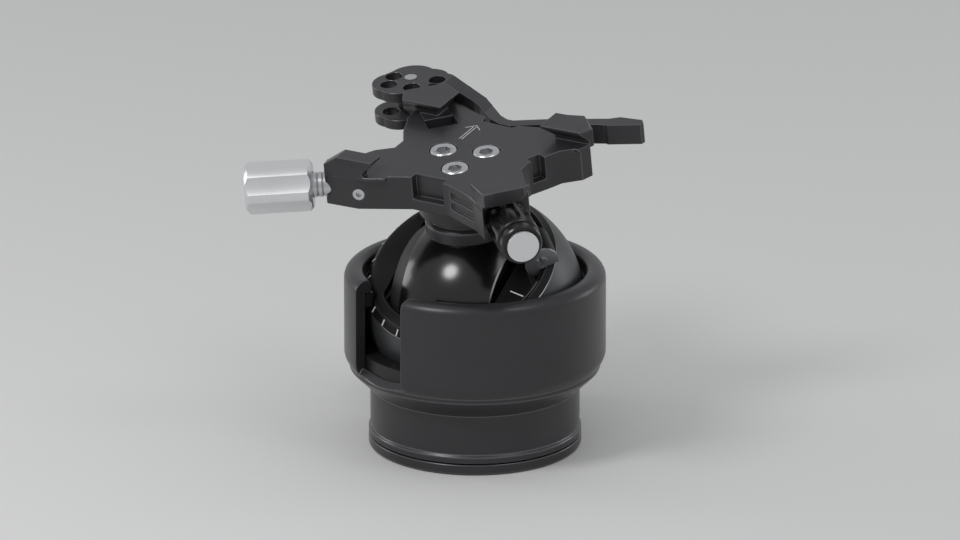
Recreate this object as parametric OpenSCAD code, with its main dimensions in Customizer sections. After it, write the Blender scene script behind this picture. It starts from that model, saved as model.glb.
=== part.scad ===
// Ball head with a levelling ball, a tilting ball inside it and a lever clamp.
// Millimetres. The origin is at the middle of the tripod face, +Z up, +Y towards the lens.

/* [Foot and pan joint] */
// Radius of the foot
foot_r = 32.3; // [31:0.1:33]
// Height of the foot
foot_h = 3.3; // [3:0.1:4]
// Radius of the spindle that the housing turns on
spindle_r = 24; // [22:0.1:24.4]
// Radius of the tapped hole for the tripod screw
thread_r = 4.0; // [3.8:0.05:4.2]

/* [Housing] */
// Wall of the cup
cup_wall = 3.7; // [3.3:0.1:4.5]
// Radius of the waist
waist_r = 31.8; // [31:0.1:32]
// Height of the lip above the balls' centre
lip_rise = 11; // [10:0.1:12]
// Radius of the rolled lip
lip_round = 3.4; // [2:0.1:4]
// Width of the drop notch
notch_w = 21; // [16:0.1:24]
// Drop of the notch's floor below the balls' centre
notch_drop = 16.8; // [14:0.1:18]
// Direction of the notch from +X
notch_angle = -109; // [-125:1:-95]

/* [Levelling ball] */
// Radius of the levelling ball
outer_r = 33.3; // [32.8:0.1:33.6]
// Gap between the levelling ball and the spindle's floor
floor_gap = 2.2; // [1.8:0.1:3.2]
// Lean of the levelling ball away from the lens
outer_tilt = 33.6; // [20:0.1:36]
// Height of the ball's opening above its centre
opening_h = 17; // [16:0.1:18]
// Width of the cap's lip outside the yoke's drum
cap_lip_w = 1.7; // [1.5:0.1:2]
// Gap round the tilting ball in the cap's opening
mouth_gap = 2.2; // [1.8:0.1:2.6]

/* [Tilting ball] */
// Step between the radii of the two balls
ball_step = 5.5; // [5.3:0.1:6.3]
// Lean of the clamp away from the lens
head_tilt = 9.3; // [5:0.1:15]
// Distance from the tilting ball's side to the outside of the yoke's drum
cheek_t = 9.2; // [9:0.1:10.5]
// Radius of the tilt axle
axle_r = 6; // [5:0.1:6.5]
// Radius of the neck's collar
collar_r = 12.8; // [12:0.1:13]
// Radius of the neck's flange
flange_r = 14.3; // [13.5:0.1:15]

/* [Clamp] */
// Height of the clamp's plate above the tilting ball
plate_rise = 21.2; // [20.7:0.1:24]
// Thickness of the clamp's plate
plate_t = 11; // [10.5:0.1:12]
// Height of the jaws above the plate
jaw_h = 5.1; // [4.8:0.1:5.6]
// Half of the gap between opposite jaws
jaw_half_gap = 17.6; // [17.2:0.1:18]
// Length of the clamp along the lens's cross direction, from the middle
reach_u = 35; // [34:0.1:37]
// Length of the clamp along the lens's direction, from the middle
reach_v = 29; // [28:0.1:31]
// Radius of the circle of the plate's screws
screw_circle_r = 7.75; // [7.5:0.05:8]

/* [Lever and knobs] */
// Travel of the movable jaw
jaw_travel = 3; // [2:0.1:3.2]
// Radius of the lever's pin
pin_r = 1.9; // [1.5:0.1:2.2]
// Radius of the silver knob
width_knob_r = 7.9; // [7:0.1:9]
// Length of the silver knob
width_knob_l = 20.4; // [16:0.1:24]
// Radius of the black knob
tension_knob_r = 6.7; // [6:0.1:6.9]
// Radius of the main lock knob
main_knob_r = 13; // [11:0.5:15]
// Radius of the pan lock knob
pan_knob_r = 7.2; // [6.5:0.1:7.6]

/* [Hidden] */
$fn = 96;

// Overrun of every cut
over = 1;
// Running clearance of a shaft in its hole
run = 0.04;
// Clearance between faces that slide on each other
slip = 0.1;
// Clearance between curved faces of different bodies
clear = 0.3;
// Large enough to hold the whole head
whole = 200;

// Pan joint
seam = 0.45;
race_t = seam - slip;
race_w = 3;
web_top = 13.3;
spindle_core_r = 19.5;
spindle_core_z = 9.5;
keeper_lip = 2.8;
keeper_t = 2;
keeper_z = web_top + seam;
insert_r = 8;
insert_flange_r = 10.5;
insert_flange_t = 1.5;
foot_screw_circle_r = 16;
foot_screw_r = 2;
foot_screw_head_r = 4;
foot_screw_head_h = 2.2;
foot_screw_l = 8.6;
foot_screw_count = 3;
foot_relief_depth = 1.1;
foot_relief_in_r = 21.5;
foot_relief_out_r = 28;
foot_edge = 0.5;

// Sizes of the two balls, the yoke's drum and the neck
ball_z = spindle_core_z + floor_gap + outer_r;
inner_r = outer_r - ball_step;
cap_inset = 0.43;
cap_lip_r = sqrt(outer_r * outer_r - opening_h * opening_h) - cap_inset;
drum_r = cap_lip_r - cap_lip_w;
mouth_r = sqrt(inner_r * inner_r - opening_h * opening_h) + mouth_gap;
inner_half_w = drum_r - cheek_t;
plate_h = inner_r + plate_rise;
plate_low = plate_h - plate_t;
collar_bottom = sqrt(inner_r * inner_r - collar_r * collar_r);

// Housing
cup_gap = 2.7;
cup_r = outer_r + cup_gap;
wall_r = cup_r + cup_wall;
well_gap = 1.4;
well_r = spindle_r + keeper_lip + well_gap;
ledge_drop = 19;
ledge_z = ball_z - ledge_drop;
cone_low_z = ledge_z - 7.3;
cone_top_z = ledge_z - 1.2;
cone_top_r = wall_r - 1.6;
wall_low_z = ledge_z + 4;
step_z = 5.6;
step_d = 0.7;
flare_z = 8.7;
lip_in_r = outer_r + clear;
lip_in_round = 2;
lip_z = ball_z + lip_rise;
lip_h = 4;
lip_low_z = lip_z - lip_h;
notch_round = 3;
// The notch's floor slopes from the seat down to the cone
notch_slope_r = cup_r - 0.4;
notch_z = ball_z - notch_drop;
notch_fall = 4;
notch_front_z = notch_z - notch_fall;
boss_r = 8.4;
boss_reach = wall_r + 3.4;
pan_boss_r = 5.3;
pan_boss_stand = 4.2;
pan_boss_reach = waist_r + pan_boss_stand;
// Directions of the two lock knobs from +X, behind the housing
main_lock_angle = 121;
pan_lock_angle = 98;
main_lock_drop = 9;
main_lock_z = ball_z - main_lock_drop;
pan_lock_z = 9.2;

// Seat and retaining ring
seat_h = 6;
seat_top_z = ledge_z + seat_h;
seat_gap = 0.15;
seat_fit = 0.15;
retainer_gap = 0.3;
retainer_h = 4.3;
retainer_top_z = lip_low_z - retainer_gap;
retainer_low_z = retainer_top_z - retainer_h;

// Lock shoes and screws
shoe_r = 5;
shoe_gap = 0.6;
shoe_out = wall_r - 1.3;
main_screw_r = 4;
main_knob_l = 16;
knob_standoff = 1;
pad_r = 3;
pad_gap = 0.35;
pad_l = 4.3;
pad_out = spindle_r + pad_l;
pan_screw_r = 2.5;
pan_knob_l = 12;

// Levelling ball and yoke
ring_t = 1.7;
ring_fit = 0.25;
ring_r = drum_r + ring_fit;
cap_lip_t = 0.7;
cap_rise = 0.5;
cap_edge = 0.6;
cap_side_gap = 1.2;
cap_half_gap = inner_half_w + cap_side_gap;
cap_screw_inset = 1.86;
cap_screw_turn = -35.75;
cap_screw_r = 1.3;
cap_screw_l = 5;
cap_screw_stand = 0;
ring_low_h = opening_h - cap_lip_t - ring_t;
yoke_lip = 0.8;
yoke_r = drum_r + yoke_lip;
yoke_fit = 0.3;
yoke_low = -14.2;
slot_gap = 0.3;
bush_t = 2;
bush_l = 5.6;
bush_gap = 0.15;

// Small tilt lock on the yoke's right cheek: place on the yoke, direction and size
lock_out = 0.1;
lock_side = 5.8;
lock_rise = 1.7;
lock_at = [drum_r + lock_out, lock_side, opening_h + lock_rise];
lock_turn = -46;
lock_r = 5.2;
lock_l = 9.8;
lock_washer_t = 0.7;
lock_screw_r = 2;
lock_screw_l = 6;
lock_slot_w = 0.8;
lock_slot_d = 0.9;
lock_stand = 0.5;

// Tilting ball, neck and springs
disc_w = 5.3;
disc_at = disc_w - inner_half_w;
disc_step = 0.45;
joint_gap = 0.02;
spring_pocket_r = 12.2;
spring_pocket_depth = 6.7;
spring_pocket_x = inner_half_w - spring_pocket_depth;
spring_r = 9;
spring_wire_r = 0.9;
spring_turns = 2;
spring_side_gap = 0.15;
spring_sides = 6;
spring_steps = 20;
collar_rise = 1.8;
collar_top = inner_r + collar_rise;
groove_r = 11.6;
groove_h = 2.3;
groove_top = collar_top + groove_h;
neck_fillet = 1;
bolt_r = 3;
bolt_head_r = 4.7;
bolt_head_h = 5;
bolt_low = 12;

// Clamp outline at the top of the plate, as shares of reach_u and reach_v
clamp_outline_shares = [
    [0.614, -0.034], [0.617, 0.117], [0.697, 0.310], [0.754, 0.469], [0.891, 0.614], [0.926, 0.745],
    [0.757, 0.983], [0.586, 0.938], [0.166, 0.828], [0.126, 0.766], [-0.171, 0.790],
    [-0.194, 0.876], [-0.500, 1.034], [-0.640, 1.090], [-0.840, 0.860], [-0.829, 0.586],
    [-0.729, 0.283], [-0.631, 0.086], [-0.631, -0.083], [-0.769, -0.210], [-0.900, -0.480],
    [-1.040, -0.600], [-0.974, -0.828], [-0.663, -0.821], [-0.214, -0.621], [0.166, -0.631],
    [0.523, -0.814], [0.723, -1.003], [0.980, -0.683], [0.990, -0.607], [0.691, -0.145]];
// Tops of the three fixed jaws, before the channels cut them
jaw_right_back_shares = [
    [0.40, 0.50], [0.891, 0.570], [0.954, 0.769], [0.769, 0.983], [0.620, 0.938], [0.40, 0.93]];
jaw_left_front_shares = [
    [-0.40, -0.50], [-0.40, -0.755], [-0.566, -0.828], [-0.974, -0.828], [-1.000, -0.700], [-0.900, -0.50]];
jaw_right_front_shares = [
    [0.40, -0.50], [0.90, -0.50], [0.990, -0.607], [0.980, -0.683], [0.723, -1.003], [0.480, -0.800], [0.40, -0.74]];
// Top of the movable jaw
jaw_moving_shares = [
    [-0.40, 0.55], [-0.40, 0.93], [-0.457, 0.969], [-0.700, 1.124], [-0.949, 0.838], [-0.957, 0.769],
    [-0.886, 0.607], [-0.800, 0.55]];
lip_t = 0.8;
undercut = 3.1;
// Bevels of the jaws: a place on the edge as shares, outward direction, width and drop
jaw_bevel_shares = [
    [[-0.850, 0], 180, 4.2, 2.6], [[0, -0.800], -90, 0.8, 2.0], [[0.855, -0.850], -49.8, 0.5, 0.5],
    [[0.850, 0.880], 41, 0.5, 0.5], [[0.920, 0.690], -20, 0.5, 0.5]];

// Pockets milled in the plate's sides: middle, direction, width, depth and floor above the plate's bottom
pocket_front_at = [-0.04 * reach_u, -0.62 * reach_v];
pocket_front_w = 11;
pocket_depth = 2.6;
pocket_floor = 3.6;
pocket_right_at = [0.654 * reach_u, 0.225 * reach_v];
pocket_right_w = 4.6;
pocket_right_turn = 63;
rib_groove_h = 2.2;
rib_groove_depth = 0.8;
rib_groove_l = 11.4;
rib_groove_at = [0.345 * reach_u, -0.723 * reach_v];
rib_groove_turn = -23;
rib_groove_drops = [3.4, 6.9];

// Plate screws
plate_screw_head_r = 4.1;
plate_screw_head_h = 4;
plate_screw_r = 2;
plate_screw_bite = 4.4;
plate_screw_gap = 0.25;
plate_screw_turn = 46;
plate_screw_count = 3;
hex_r = 2.3;
hex_d = 2.2;

// Silver knob: where its shaft leaves the arm, and its direction
width_at = [-1.010 * reach_u, -0.716 * reach_v];
width_drop = 6.1;
width_turn = 209;
width_shaft_r = 4.2;
width_shaft_in = 7;
width_shaft_out = 4.4;
width_flutes = 6;
width_flute_r = 14;
width_flute_d = 0.75;
knob_chamfer = 1.1;

// Black knob: along the right front arm, and its mouth in the arm
tension_turn = -45;
tension_side = 5.2;
tension_drop = 7.4;
tension_in = 32.4;
tension_out = 51.4;
tension_mouth = 31.5;
tension_mouth_side = -2.9;
tension_tip_r = 5.9;
tension_flutes = 8;
tension_flute_r = 1.5;
tension_cap_r = 4.85;
tension_cap_t = 0.9;
tension_screw_r = 2.5;
tension_screw_in = 24;
tension_roof = 0.5;

// Pin in the side of the left front arm
side_pin_at = [-0.655 * reach_u, -0.795 * reach_v];
side_pin_turn = -70;
side_pin_drop = 6.1;
side_pin_r = 1.8;
side_pin_l = 4.8;
side_pin_stand = 0.6;

// Movable jaw, its key and its lug
jaw_turn = 135;
jaw_gap = 0.1;
key_w = 9;
key_h = 4;
lug_w = 9;
arm_end = 36.4;
// Length of the key that stays in its slot when the jaw is open
key_bite = 5.4;
key_in = arm_end - key_bite - jaw_travel;
key_out = 40;
key_slot_in = 22;

// Lever: pin place, ears, arm. Ear shapes and holes are measured from the pin
hub_at = [-38, 34.2];
ear_top = jaw_h - 1.3;
ear_t = 3.2;
ear_gap = 6;
ear_slip = 0.15;
ear_path = [[6, 3.4], [0, 1], [-3.4, -5], [-1, -5.8], [2.4, -3]];
ear_half_ws = [4.6, 7.4, 6.4, 6.2, 5.4];
ear_hole_r = 2.6;
ear_holes = [[-5.3, -1.2], [-3.9, -6.6], [3.6, -5.6], [8.4, 1.6]];
ear_low_holes = [[-3.9, -6.6]];
ear_sweep_r = 13;
edge_stand = 0.1;
arm_top = -0.4;
arm_t = 6.6;
arm_path = [[-33, 37.2], [-28, 37], [-20, 35.7], [-13.6, 34], [-10.6, 32.3], [-4.2, 27.3], [-0.6, 25.6], [2.4, 25.5], [13, 30.7],
            [29.5, 37]];
arm_half_ws = [5, 3.7, 2.6, 2.4, 2.2, 1.9, 1.8, 1.8, 1.8, 2.1];
tab_outline = [[29, 35], [30.6, 34.6], [40.1, 38.7], [40.3, 40.2], [38.9, 41.9], [31.6, 41.1], [28.6, 38.7]];
// Share of a disc's radius at which a strap's straight piece meets it
strap_share = 0.98;
ramp_from = -26;
ramp_to = -9;

// Point on a circle
function on_circle(r, a) = [r * cos(a), r * sin(a)];
// Points of an arc in a profile, from angle a to angle b
function arc(c, r, a, b, n) = [for (i = [0:n]) c + on_circle(r, a + (b - a) * i / n)];
// Where the movable jaw's lug starts
lug_foot = on_circle(arm_end + jaw_gap + lug_w / 2, jaw_turn);
// An outline given in shares of the clamp's reaches
function clamp_points(shares) = [for (s = shares) [s.x * reach_u, s.y * reach_v]];

// Frames of the levelling ball, of the tilting ball and of the clamp's plate
module in_outer() { translate([0, 0, ball_z]) rotate([outer_tilt, 0, 0]) children(); }
module in_head() { translate([0, 0, ball_z]) rotate([head_tilt, 0, 0]) children(); }
module in_plate() { in_head() translate([0, 0, plate_h]) children(); }
// An axis that runs outwards from the pan axis
module outward(angle, z) { rotate([0, 0, angle]) translate([0, 0, z]) rotate([0, 90, 0]) children(); }
// An axis along +X of its own frame
module along_x() { rotate([0, 90, 0]) children(); }
// A tube between two heights
module tube(r_out, r_in, z_low, z_top) {
    translate([0, 0, z_low]) difference() {
        cylinder(r = r_out, h = z_top - z_low);
        translate([0, 0, -over]) cylinder(r = r_in, h = z_top - z_low + 2 * over);
    }
}
// A cylinder between two heights
module rod(r, low, top) { translate([0, 0, low]) cylinder(r = r, h = top - low); }
// Copies round the axis
module around(count, from = 0) { for (i = [0:count - 1]) rotate([0, 0, from + i * 360 / count]) children(); }
// The ball's sphere in the part's frame
module ball_sphere(r) { translate([0, 0, ball_z]) sphere(r = r); }
// A flat-ended knob with flutes along its side
module fluted_knob(r, l, flutes, flute_r, flute_d, chamfer) {
    difference() {
        rotate_extrude() polygon([[0, 0], [r - chamfer, 0], [r, chamfer], [r, l - chamfer], [r - chamfer, l], [0, l]]);
        around(flutes) translate([r + flute_r - flute_d, 0, -over]) cylinder(r = flute_r, h = l + 2 * over, $fn = 48);
    }
}

// Foot with a relieved underside and countersunk holes
module foot_disc() {
    color("#2b2b2d") difference() {
        rotate_extrude() polygon([
            [insert_r, 0], [foot_relief_in_r, 0], [foot_relief_in_r, foot_relief_depth],
            [foot_relief_out_r, foot_relief_depth], [foot_relief_out_r, 0], [foot_r - foot_edge, 0],
            [foot_r, foot_edge], [foot_r, foot_h], [insert_r, foot_h]]);
        around(foot_screw_count) translate([foot_screw_circle_r, 0, 0]) foot_screw_hole();
    }
}
module foot_screw_hole() {
    rod(foot_screw_r, -over, foot_screw_l + foot_h);
    translate([0, 0, -slip]) cylinder(r1 = foot_screw_head_r + slip, r2 = foot_screw_r, h = foot_screw_head_h + slip);
}
module foot_screws() {
    color("#8b8d90") around(foot_screw_count) translate([foot_screw_circle_r, 0, 0]) difference() {
        union() {
            rod(foot_screw_r, 0, foot_screw_l);
            cylinder(r1 = foot_screw_head_r, r2 = foot_screw_r, h = foot_screw_head_h);
        }
        translate([0, 0, -over]) cylinder(r = foot_screw_r * 0.6, h = over + foot_screw_head_h * 0.6, $fn = 6);
    }
}
// Steel bush with the tripod thread's bore
module tripod_insert() {
    insert_top = spindle_core_z;
    color("#b9bbbe") difference() {
        union() {
            rod(insert_r, 0, insert_top);
            rod(insert_flange_r, insert_top - insert_flange_t, insert_top);
        }
        rod(thread_r, -over, insert_top + over);
    }
}
// Drum that the housing turns on, hollowed for the ball
module pan_spindle() {
    color("#4a4b4e") difference() {
        rotate_extrude() polygon([
            [insert_r, foot_h], [spindle_r, foot_h], [spindle_r, keeper_z], [spindle_core_r, keeper_z],
            [spindle_core_r, spindle_core_z], [insert_flange_r, spindle_core_z],
            [insert_flange_r, spindle_core_z - insert_flange_t], [insert_r, spindle_core_z - insert_flange_t]]);
        around(foot_screw_count) translate([foot_screw_circle_r, 0, 0]) rod(foot_screw_r, 0, foot_screw_l);
    }
}
// Ring on the drum that keeps the housing down
module keeper_ring() {
    color("#4a4b4e") tube(spindle_r + keeper_lip, spindle_core_r, keeper_z, keeper_z + keeper_t);
}
module lower_race() {
    color("#d8d4c4") tube(spindle_r + 2 * race_w, spindle_r + race_w, foot_h, foot_h + race_t);
}
module upper_race() {
    color("#d8d4c4") tube(spindle_r + keeper_lip, spindle_r + slip, web_top + slip, keeper_z);
}

// Waisted cup: the profile runs up the outside and down the inside
module housing_profile() {
    z0 = foot_h + seam;
    polygon(concat(
        [[spindle_r + run, z0], [foot_r, z0], [foot_r, step_z], [foot_r - step_d, step_z + step_d],
         [waist_r, flare_z], [waist_r, cone_low_z], [cone_top_r, cone_top_z]],
        arc([wall_r - (wall_low_z - cone_top_z), wall_low_z], wall_low_z - cone_top_z, -46, 0, 6),
        arc([wall_r - lip_round, lip_z - lip_round], lip_round, 0, 90, 8),
        arc([lip_in_r + lip_in_round, lip_z - lip_in_round], lip_in_round, 90, 180, 8),
        [[lip_in_r, lip_low_z], [cup_r, lip_low_z], [cup_r, ledge_z], [well_r, ledge_z],
         [well_r, web_top], [spindle_r + run, web_top]]));
}
// The notch: an outline across its width with rounded lower corners, over a floor that slopes outwards
module notch_outline() {
    w = notch_w;
    low = notch_front_z;
    translate([-w / 2, low + notch_round]) square([w, lip_z]);
    translate([-w / 2 + notch_round, low]) square([w - 2 * notch_round, notch_round + over]);
    for (s = [-1, 1]) translate([s * (w / 2 - notch_round), low + notch_round]) circle(r = notch_round);
}
module notch_cut() {
    r_from = outer_r - cup_wall;
    front_r = notch_slope_r + notch_z - notch_front_z;
    rotate([0, 0, notch_angle]) intersection() {
        translate([r_from, 0, 0]) rotate([90, 0, 90]) linear_extrude(height = wall_r) notch_outline();
        translate([0, wall_r, 0]) rotate([90, 0, 0]) linear_extrude(height = 2 * wall_r) polygon([
            [r_from, notch_z], [notch_slope_r, notch_z], [front_r, notch_front_z], [2 * wall_r, notch_front_z],
            [2 * wall_r, lip_z + over], [r_from, lip_z + over]]);
    }
}
module housing() {
    color("#2f3032") difference() {
        union() {
            rotate_extrude($fn = 128) housing_profile();
            outward(main_lock_angle, main_lock_z) rod(boss_r, cup_r + over, boss_reach);
            outward(pan_lock_angle, pan_lock_z) rod(pan_boss_r, waist_r - over, pan_boss_reach);
        }
        notch_cut();
        outward(main_lock_angle, main_lock_z) {
            rod(shoe_r + slip, outer_r - cup_wall, shoe_out + shoe_gap);
            rod(main_screw_r + run, outer_r, boss_reach + over);
        }
        outward(pan_lock_angle, pan_lock_z) {
            rod(pad_r + slip, spindle_r - over, pad_out + pad_gap);
            rod(pan_screw_r + run, spindle_r, pan_boss_reach + over);
        }
    }
}
// Lower seat: a ring with a hollow of the ball's radius
module ball_seat() {
    color("#141414") difference() {
        rod(cup_r - seat_fit, ledge_z, seat_top_z);
        ball_sphere(outer_r + seat_gap);
        rotate([0, 0, main_lock_angle]) translate([0, -shoe_r - clear, main_lock_z - shoe_r - clear])
            cube([cup_r, 2 * (shoe_r + clear), seat_top_z]);
    }
}
// Upper ring that keeps the ball in the cup, open at the notch
module retaining_ring() {
    color("#141414") difference() {
        rod(cup_r - seat_fit, retainer_low_z, retainer_top_z);
        ball_sphere(outer_r + clear);
        notch_cut();
    }
}

// Shoe that the main lock presses on the ball
module lock_shoe() {
    color("#a98b4e") difference() {
        outward(main_lock_angle, main_lock_z) rod(shoe_r, outer_r - 2 * cup_wall, shoe_out);
        ball_sphere(outer_r + shoe_gap);
    }
}
module ball_lock_screw() {
    color("#8b8d90") outward(main_lock_angle, main_lock_z)
        rod(main_screw_r, shoe_out + slip, boss_reach + knob_standoff + main_knob_l / 2);
}
module lock_knob(r, l, bore_r, bore_l) {
    difference() {
        fluted_knob(r, l, 12, r / 5, r / 14, knob_chamfer);
        rod(bore_r, -over, bore_l);
    }
}
module ball_lock_knob() {
    color("#232324") outward(main_lock_angle, main_lock_z) translate([0, 0, boss_reach + knob_standoff])
        lock_knob(main_knob_r, main_knob_l, main_screw_r, main_knob_l / 2);
}
// Pad that the pan lock presses on the spindle
module pan_pad() {
    color("#a98b4e") difference() {
        outward(pan_lock_angle, pan_lock_z) rod(pad_r, spindle_r - over, pad_out);
        rod(spindle_r + pad_gap, 0, lip_z);
    }
}
module pan_lock_screw() {
    color("#8b8d90") outward(pan_lock_angle, pan_lock_z)
        rod(pan_screw_r, pad_out + slip, pan_boss_reach + knob_standoff + pan_knob_l / 2);
}
module pan_lock_knob() {
    color("#232324") outward(pan_lock_angle, pan_lock_z) translate([0, 0, pan_boss_reach + knob_standoff])
        lock_knob(pan_knob_r, pan_knob_l, pan_screw_r, pan_knob_l / 2);
}

// Levelling ball: a sphere bored for the yoke and hollowed for the tilting ball
module outer_ball() {
    color("#6f7072") in_outer() difference() {
        sphere(r = outer_r);
        rod(outer_r + over, ring_low_h, outer_r + over);
        rod(yoke_r + yoke_fit, yoke_low - yoke_fit, outer_r);
        sphere(r = inner_r + 2 * slot_gap);
    }
}
// Bevelled ring that holds the yoke down; the tick marks are on its bevel
module scale_ring() {
    low_r = sqrt(outer_r * outer_r - ring_low_h * ring_low_h);
    color("#1d1d1e") in_outer() difference() {
        translate([0, 0, ring_low_h]) cylinder(r1 = low_r, r2 = cap_lip_r, h = ring_t);
        rod(ring_r, ring_low_h - over, outer_r);
    }
}

// Yoke: a drum with a slot for the tilting ball, closed above by the cap ring
module yoke() {
    slot = inner_half_w + slot_gap;
    color("#1c1c1d") in_outer() difference() {
        union() {
            rod(yoke_r, yoke_low, ring_low_h - slip);
            rod(drum_r, 0, cap_low_h());
        }
        translate([-slot, -whole / 2, yoke_low + (inner_r + slot_gap) / 6]) cube([2 * slot, whole, whole]);
        intersection() {
            sphere(r = inner_r + slot_gap);
            cube([2 * slot, whole, whole], center = true);
        }
        along_x() rod(axle_r + bush_t, -yoke_r + bush_t, yoke_r - bush_t);
        in_lock() rod(lock_r, -lock_l, lock_r);
        in_cap_screws() rod(cap_screw_r, -cap_screw_l, outer_r);
    }
}
function cap_low_h() = opening_h - cap_lip_t - cap_edge;
// Cap ring: a turned plate whose opening has flats beside the ball
module cap_ring() {
    low = cap_low_h();
    top = opening_h + cap_rise;
    color("#1c1c1d") in_outer() difference() {
        rotate_extrude() polygon([
            [0, low], [drum_r, low], [drum_r, opening_h - cap_lip_t + slip], [cap_lip_r, opening_h - cap_lip_t + slip],
            [cap_lip_r - cap_lip_t / 2, opening_h], [drum_r, top], [0, top]]);
        intersection() {
            union() {
                rod(mouth_r, low - over, top + over);
                translate([0, 0, top - cap_edge]) cylinder(r1 = mouth_r, r2 = mouth_r + 2 * cap_edge, h = 2 * cap_edge);
            }
            cube([2 * cap_half_gap, whole, whole], center = true);
        }
        in_lock() rod(lock_r, -lock_l, lock_r);
        in_cap_screws() rod(cap_screw_r, -cap_screw_l, outer_r);
    }
}
// The two screws that hold the cap ring on the cheeks
module in_cap_screws() {
    for (turn = [0, 180]) rotate([0, 0, turn + cap_screw_turn])
        translate([drum_r - cap_screw_inset, 0, opening_h + cap_rise]) children();
}
module cap_screws() {
    color("#c9cacc") in_outer() in_cap_screws() rod(cap_screw_r, -cap_screw_l, cap_screw_stand);
}
module axle_bushes() {
    slot = inner_half_w + slot_gap;
    color("#b58d4a") in_outer() for (s = [-1, 1]) scale([s, 1, 1])
        along_x() tube(axle_r + bush_t, axle_r + run, slot, slot + bush_l);
}
// Frame of the small tilt lock, +Z out of its end face
module in_lock() { translate(lock_at) rotate([0, 0, lock_turn]) along_x() children(); }
// What the lock must leave free above the scale ring
module ring_space() { tube(whole, drum_r - slip, -whole, opening_h - cap_lip_t + slip); }
module lock_sleeve() {
    color("#1c1c1d") in_outer() difference() {
        in_lock() rod(lock_r, -lock_l, 0);
        in_lock() rod(lock_screw_r + run, -lock_l - over, over);
        ring_space();
        sphere(r = inner_r + slot_gap);
        cube([2 * (inner_half_w + slot_gap), whole, whole], center = true);
    }
}
module lock_washer() {
    color("#c9cacc") in_outer() difference() {
        in_lock() tube(lock_r, lock_screw_r + run, 0, lock_washer_t);
        ring_space();
    }
}
module tilt_lock_screw() {
    color("#c9cacc") in_outer() in_lock() difference() {
        rod(lock_screw_r, -lock_screw_l, lock_washer_t + lock_stand);
        translate([-lock_r, -lock_slot_w / 2, lock_washer_t + lock_stand - lock_slot_d])
            cube([2 * lock_r, lock_slot_w, lock_slot_d + over]);
    }
}

// A slice of the tilting ball between two places on the tilt axis, bored for axle and springs
module ball_slice(r, from, to) {
    difference() {
        intersection() {
            sphere(r = r);
            translate([from, -whole / 2, -whole / 2]) cube([to - from, whole, whole]);
        }
        along_x() rod(axle_r, -inner_r, inner_r);
        for (s = [-1, 1]) scale([s, 1, 1]) along_x() rod(spring_pocket_r, spring_pocket_x, inner_r);
    }
}
module inner_ball() {
    color("#0b0b0c") in_head() difference() {
        ball_slice(inner_r, disc_at, inner_half_w);
        rod(bolt_r, bolt_low, inner_r + over);
    }
}
module side_disc() { color("#4c4d4f") in_head() ball_slice(inner_r - disc_step, -inner_half_w, disc_at - joint_gap); }
module tilt_axle() {
    half = inner_half_w + slot_gap + bush_l - bush_gap;
    color("#9a9c9f") in_head() along_x() rod(axle_r, -half, half);
}
// Two wound springs round the axle, each one unbroken wire
function wire_ring(i, x0, rise) = [for (j = [0:spring_sides - 1])
    let (a = i * 360 / spring_steps, b = j * 360 / spring_sides, r = spring_r + spring_wire_r * cos(b))
    [x0 + rise * i / spring_steps + spring_wire_r * sin(b), r * cos(a), r * sin(a)]];
module wound_spring(x0, rise) {
    rings = spring_turns * spring_steps;
    points = [for (i = [0:rings]) each wire_ring(i, x0, rise)];
    n = spring_sides;
    sides = [for (i = [0:rings - 1], j = [0:n - 1], k = [0, 1])
        let (p = i * n + j, q = i * n + (j + 1) % n)
        k == 0 ? [p, q, q + n] : [p, q + n, p + n]];
    ends = [[for (j = [0:n - 1]) n - 1 - j], [for (j = [0:n - 1]) rings * n + j]];
    polyhedron(points = points, faces = concat(sides, ends));
}
module balance_springs() {
    rise = 2 * (spring_wire_r + spring_side_gap);
    x0 = spring_pocket_x + spring_wire_r + spring_side_gap;
    color("#77797c") in_head() for (s = [-1, 1]) rotate([0, 0, s < 0 ? 180 : 0]) wound_spring(x0, rise);
}
// Neck: collar, groove and flange, hollowed to sit on the ball
module neck() {
    color("#232324") in_head() difference() {
        rotate_extrude() polygon([
            [0, collar_bottom - neck_fillet], [collar_r, collar_bottom - neck_fillet],
            [collar_r, collar_top - neck_fillet], [collar_r - neck_fillet, collar_top], [groove_r, collar_top],
            [groove_r, groove_top], [flange_r, groove_top], [flange_r, plate_low], [0, plate_low]]);
        sphere(r = inner_r);
        rod(bolt_r, 0, plate_low);
        rod(bolt_head_r + slip, plate_low - bolt_head_h, plate_low + over);
        around(plate_screw_count, plate_screw_turn) translate([screw_circle_r, 0, 0])
            rod(plate_screw_r, plate_low - plate_screw_bite, plate_low + over);
    }
}
module neck_bolt() {
    color("#8b8d90") in_head() difference() {
        union() {
            rod(bolt_r, bolt_low, plate_low - bolt_head_h);
            rod(bolt_head_r, plate_low - bolt_head_h, plate_low);
        }
        translate([0, 0, plate_low - bolt_head_h / 2]) cylinder(r = bolt_head_r / 2, h = bolt_head_h, $fn = 6);
    }
}

// A prism over an outline in shares
module prism(shares, low, top) {
    translate([0, 0, low]) linear_extrude(height = top - low) polygon(clamp_points(shares));
}
// Half of the dovetail channel's cross-section
module channel_half() {
    foot = jaw_half_gap + undercut;
    polygon([[-over, 0], [foot, 0], [foot, jaw_h - lip_t - undercut], [jaw_half_gap, jaw_h - lip_t],
             [jaw_half_gap, jaw_h + over], [-over, jaw_h + over]]);
}
// The two crossing channels
module channels() {
    for (turn = [0, 90], s = [0, 1]) rotate([0, 0, turn]) mirror([s, 0, 0])
        translate([0, whole / 2, 0]) rotate([90, 0, 0]) linear_extrude(height = whole) channel_half();
}
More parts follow.
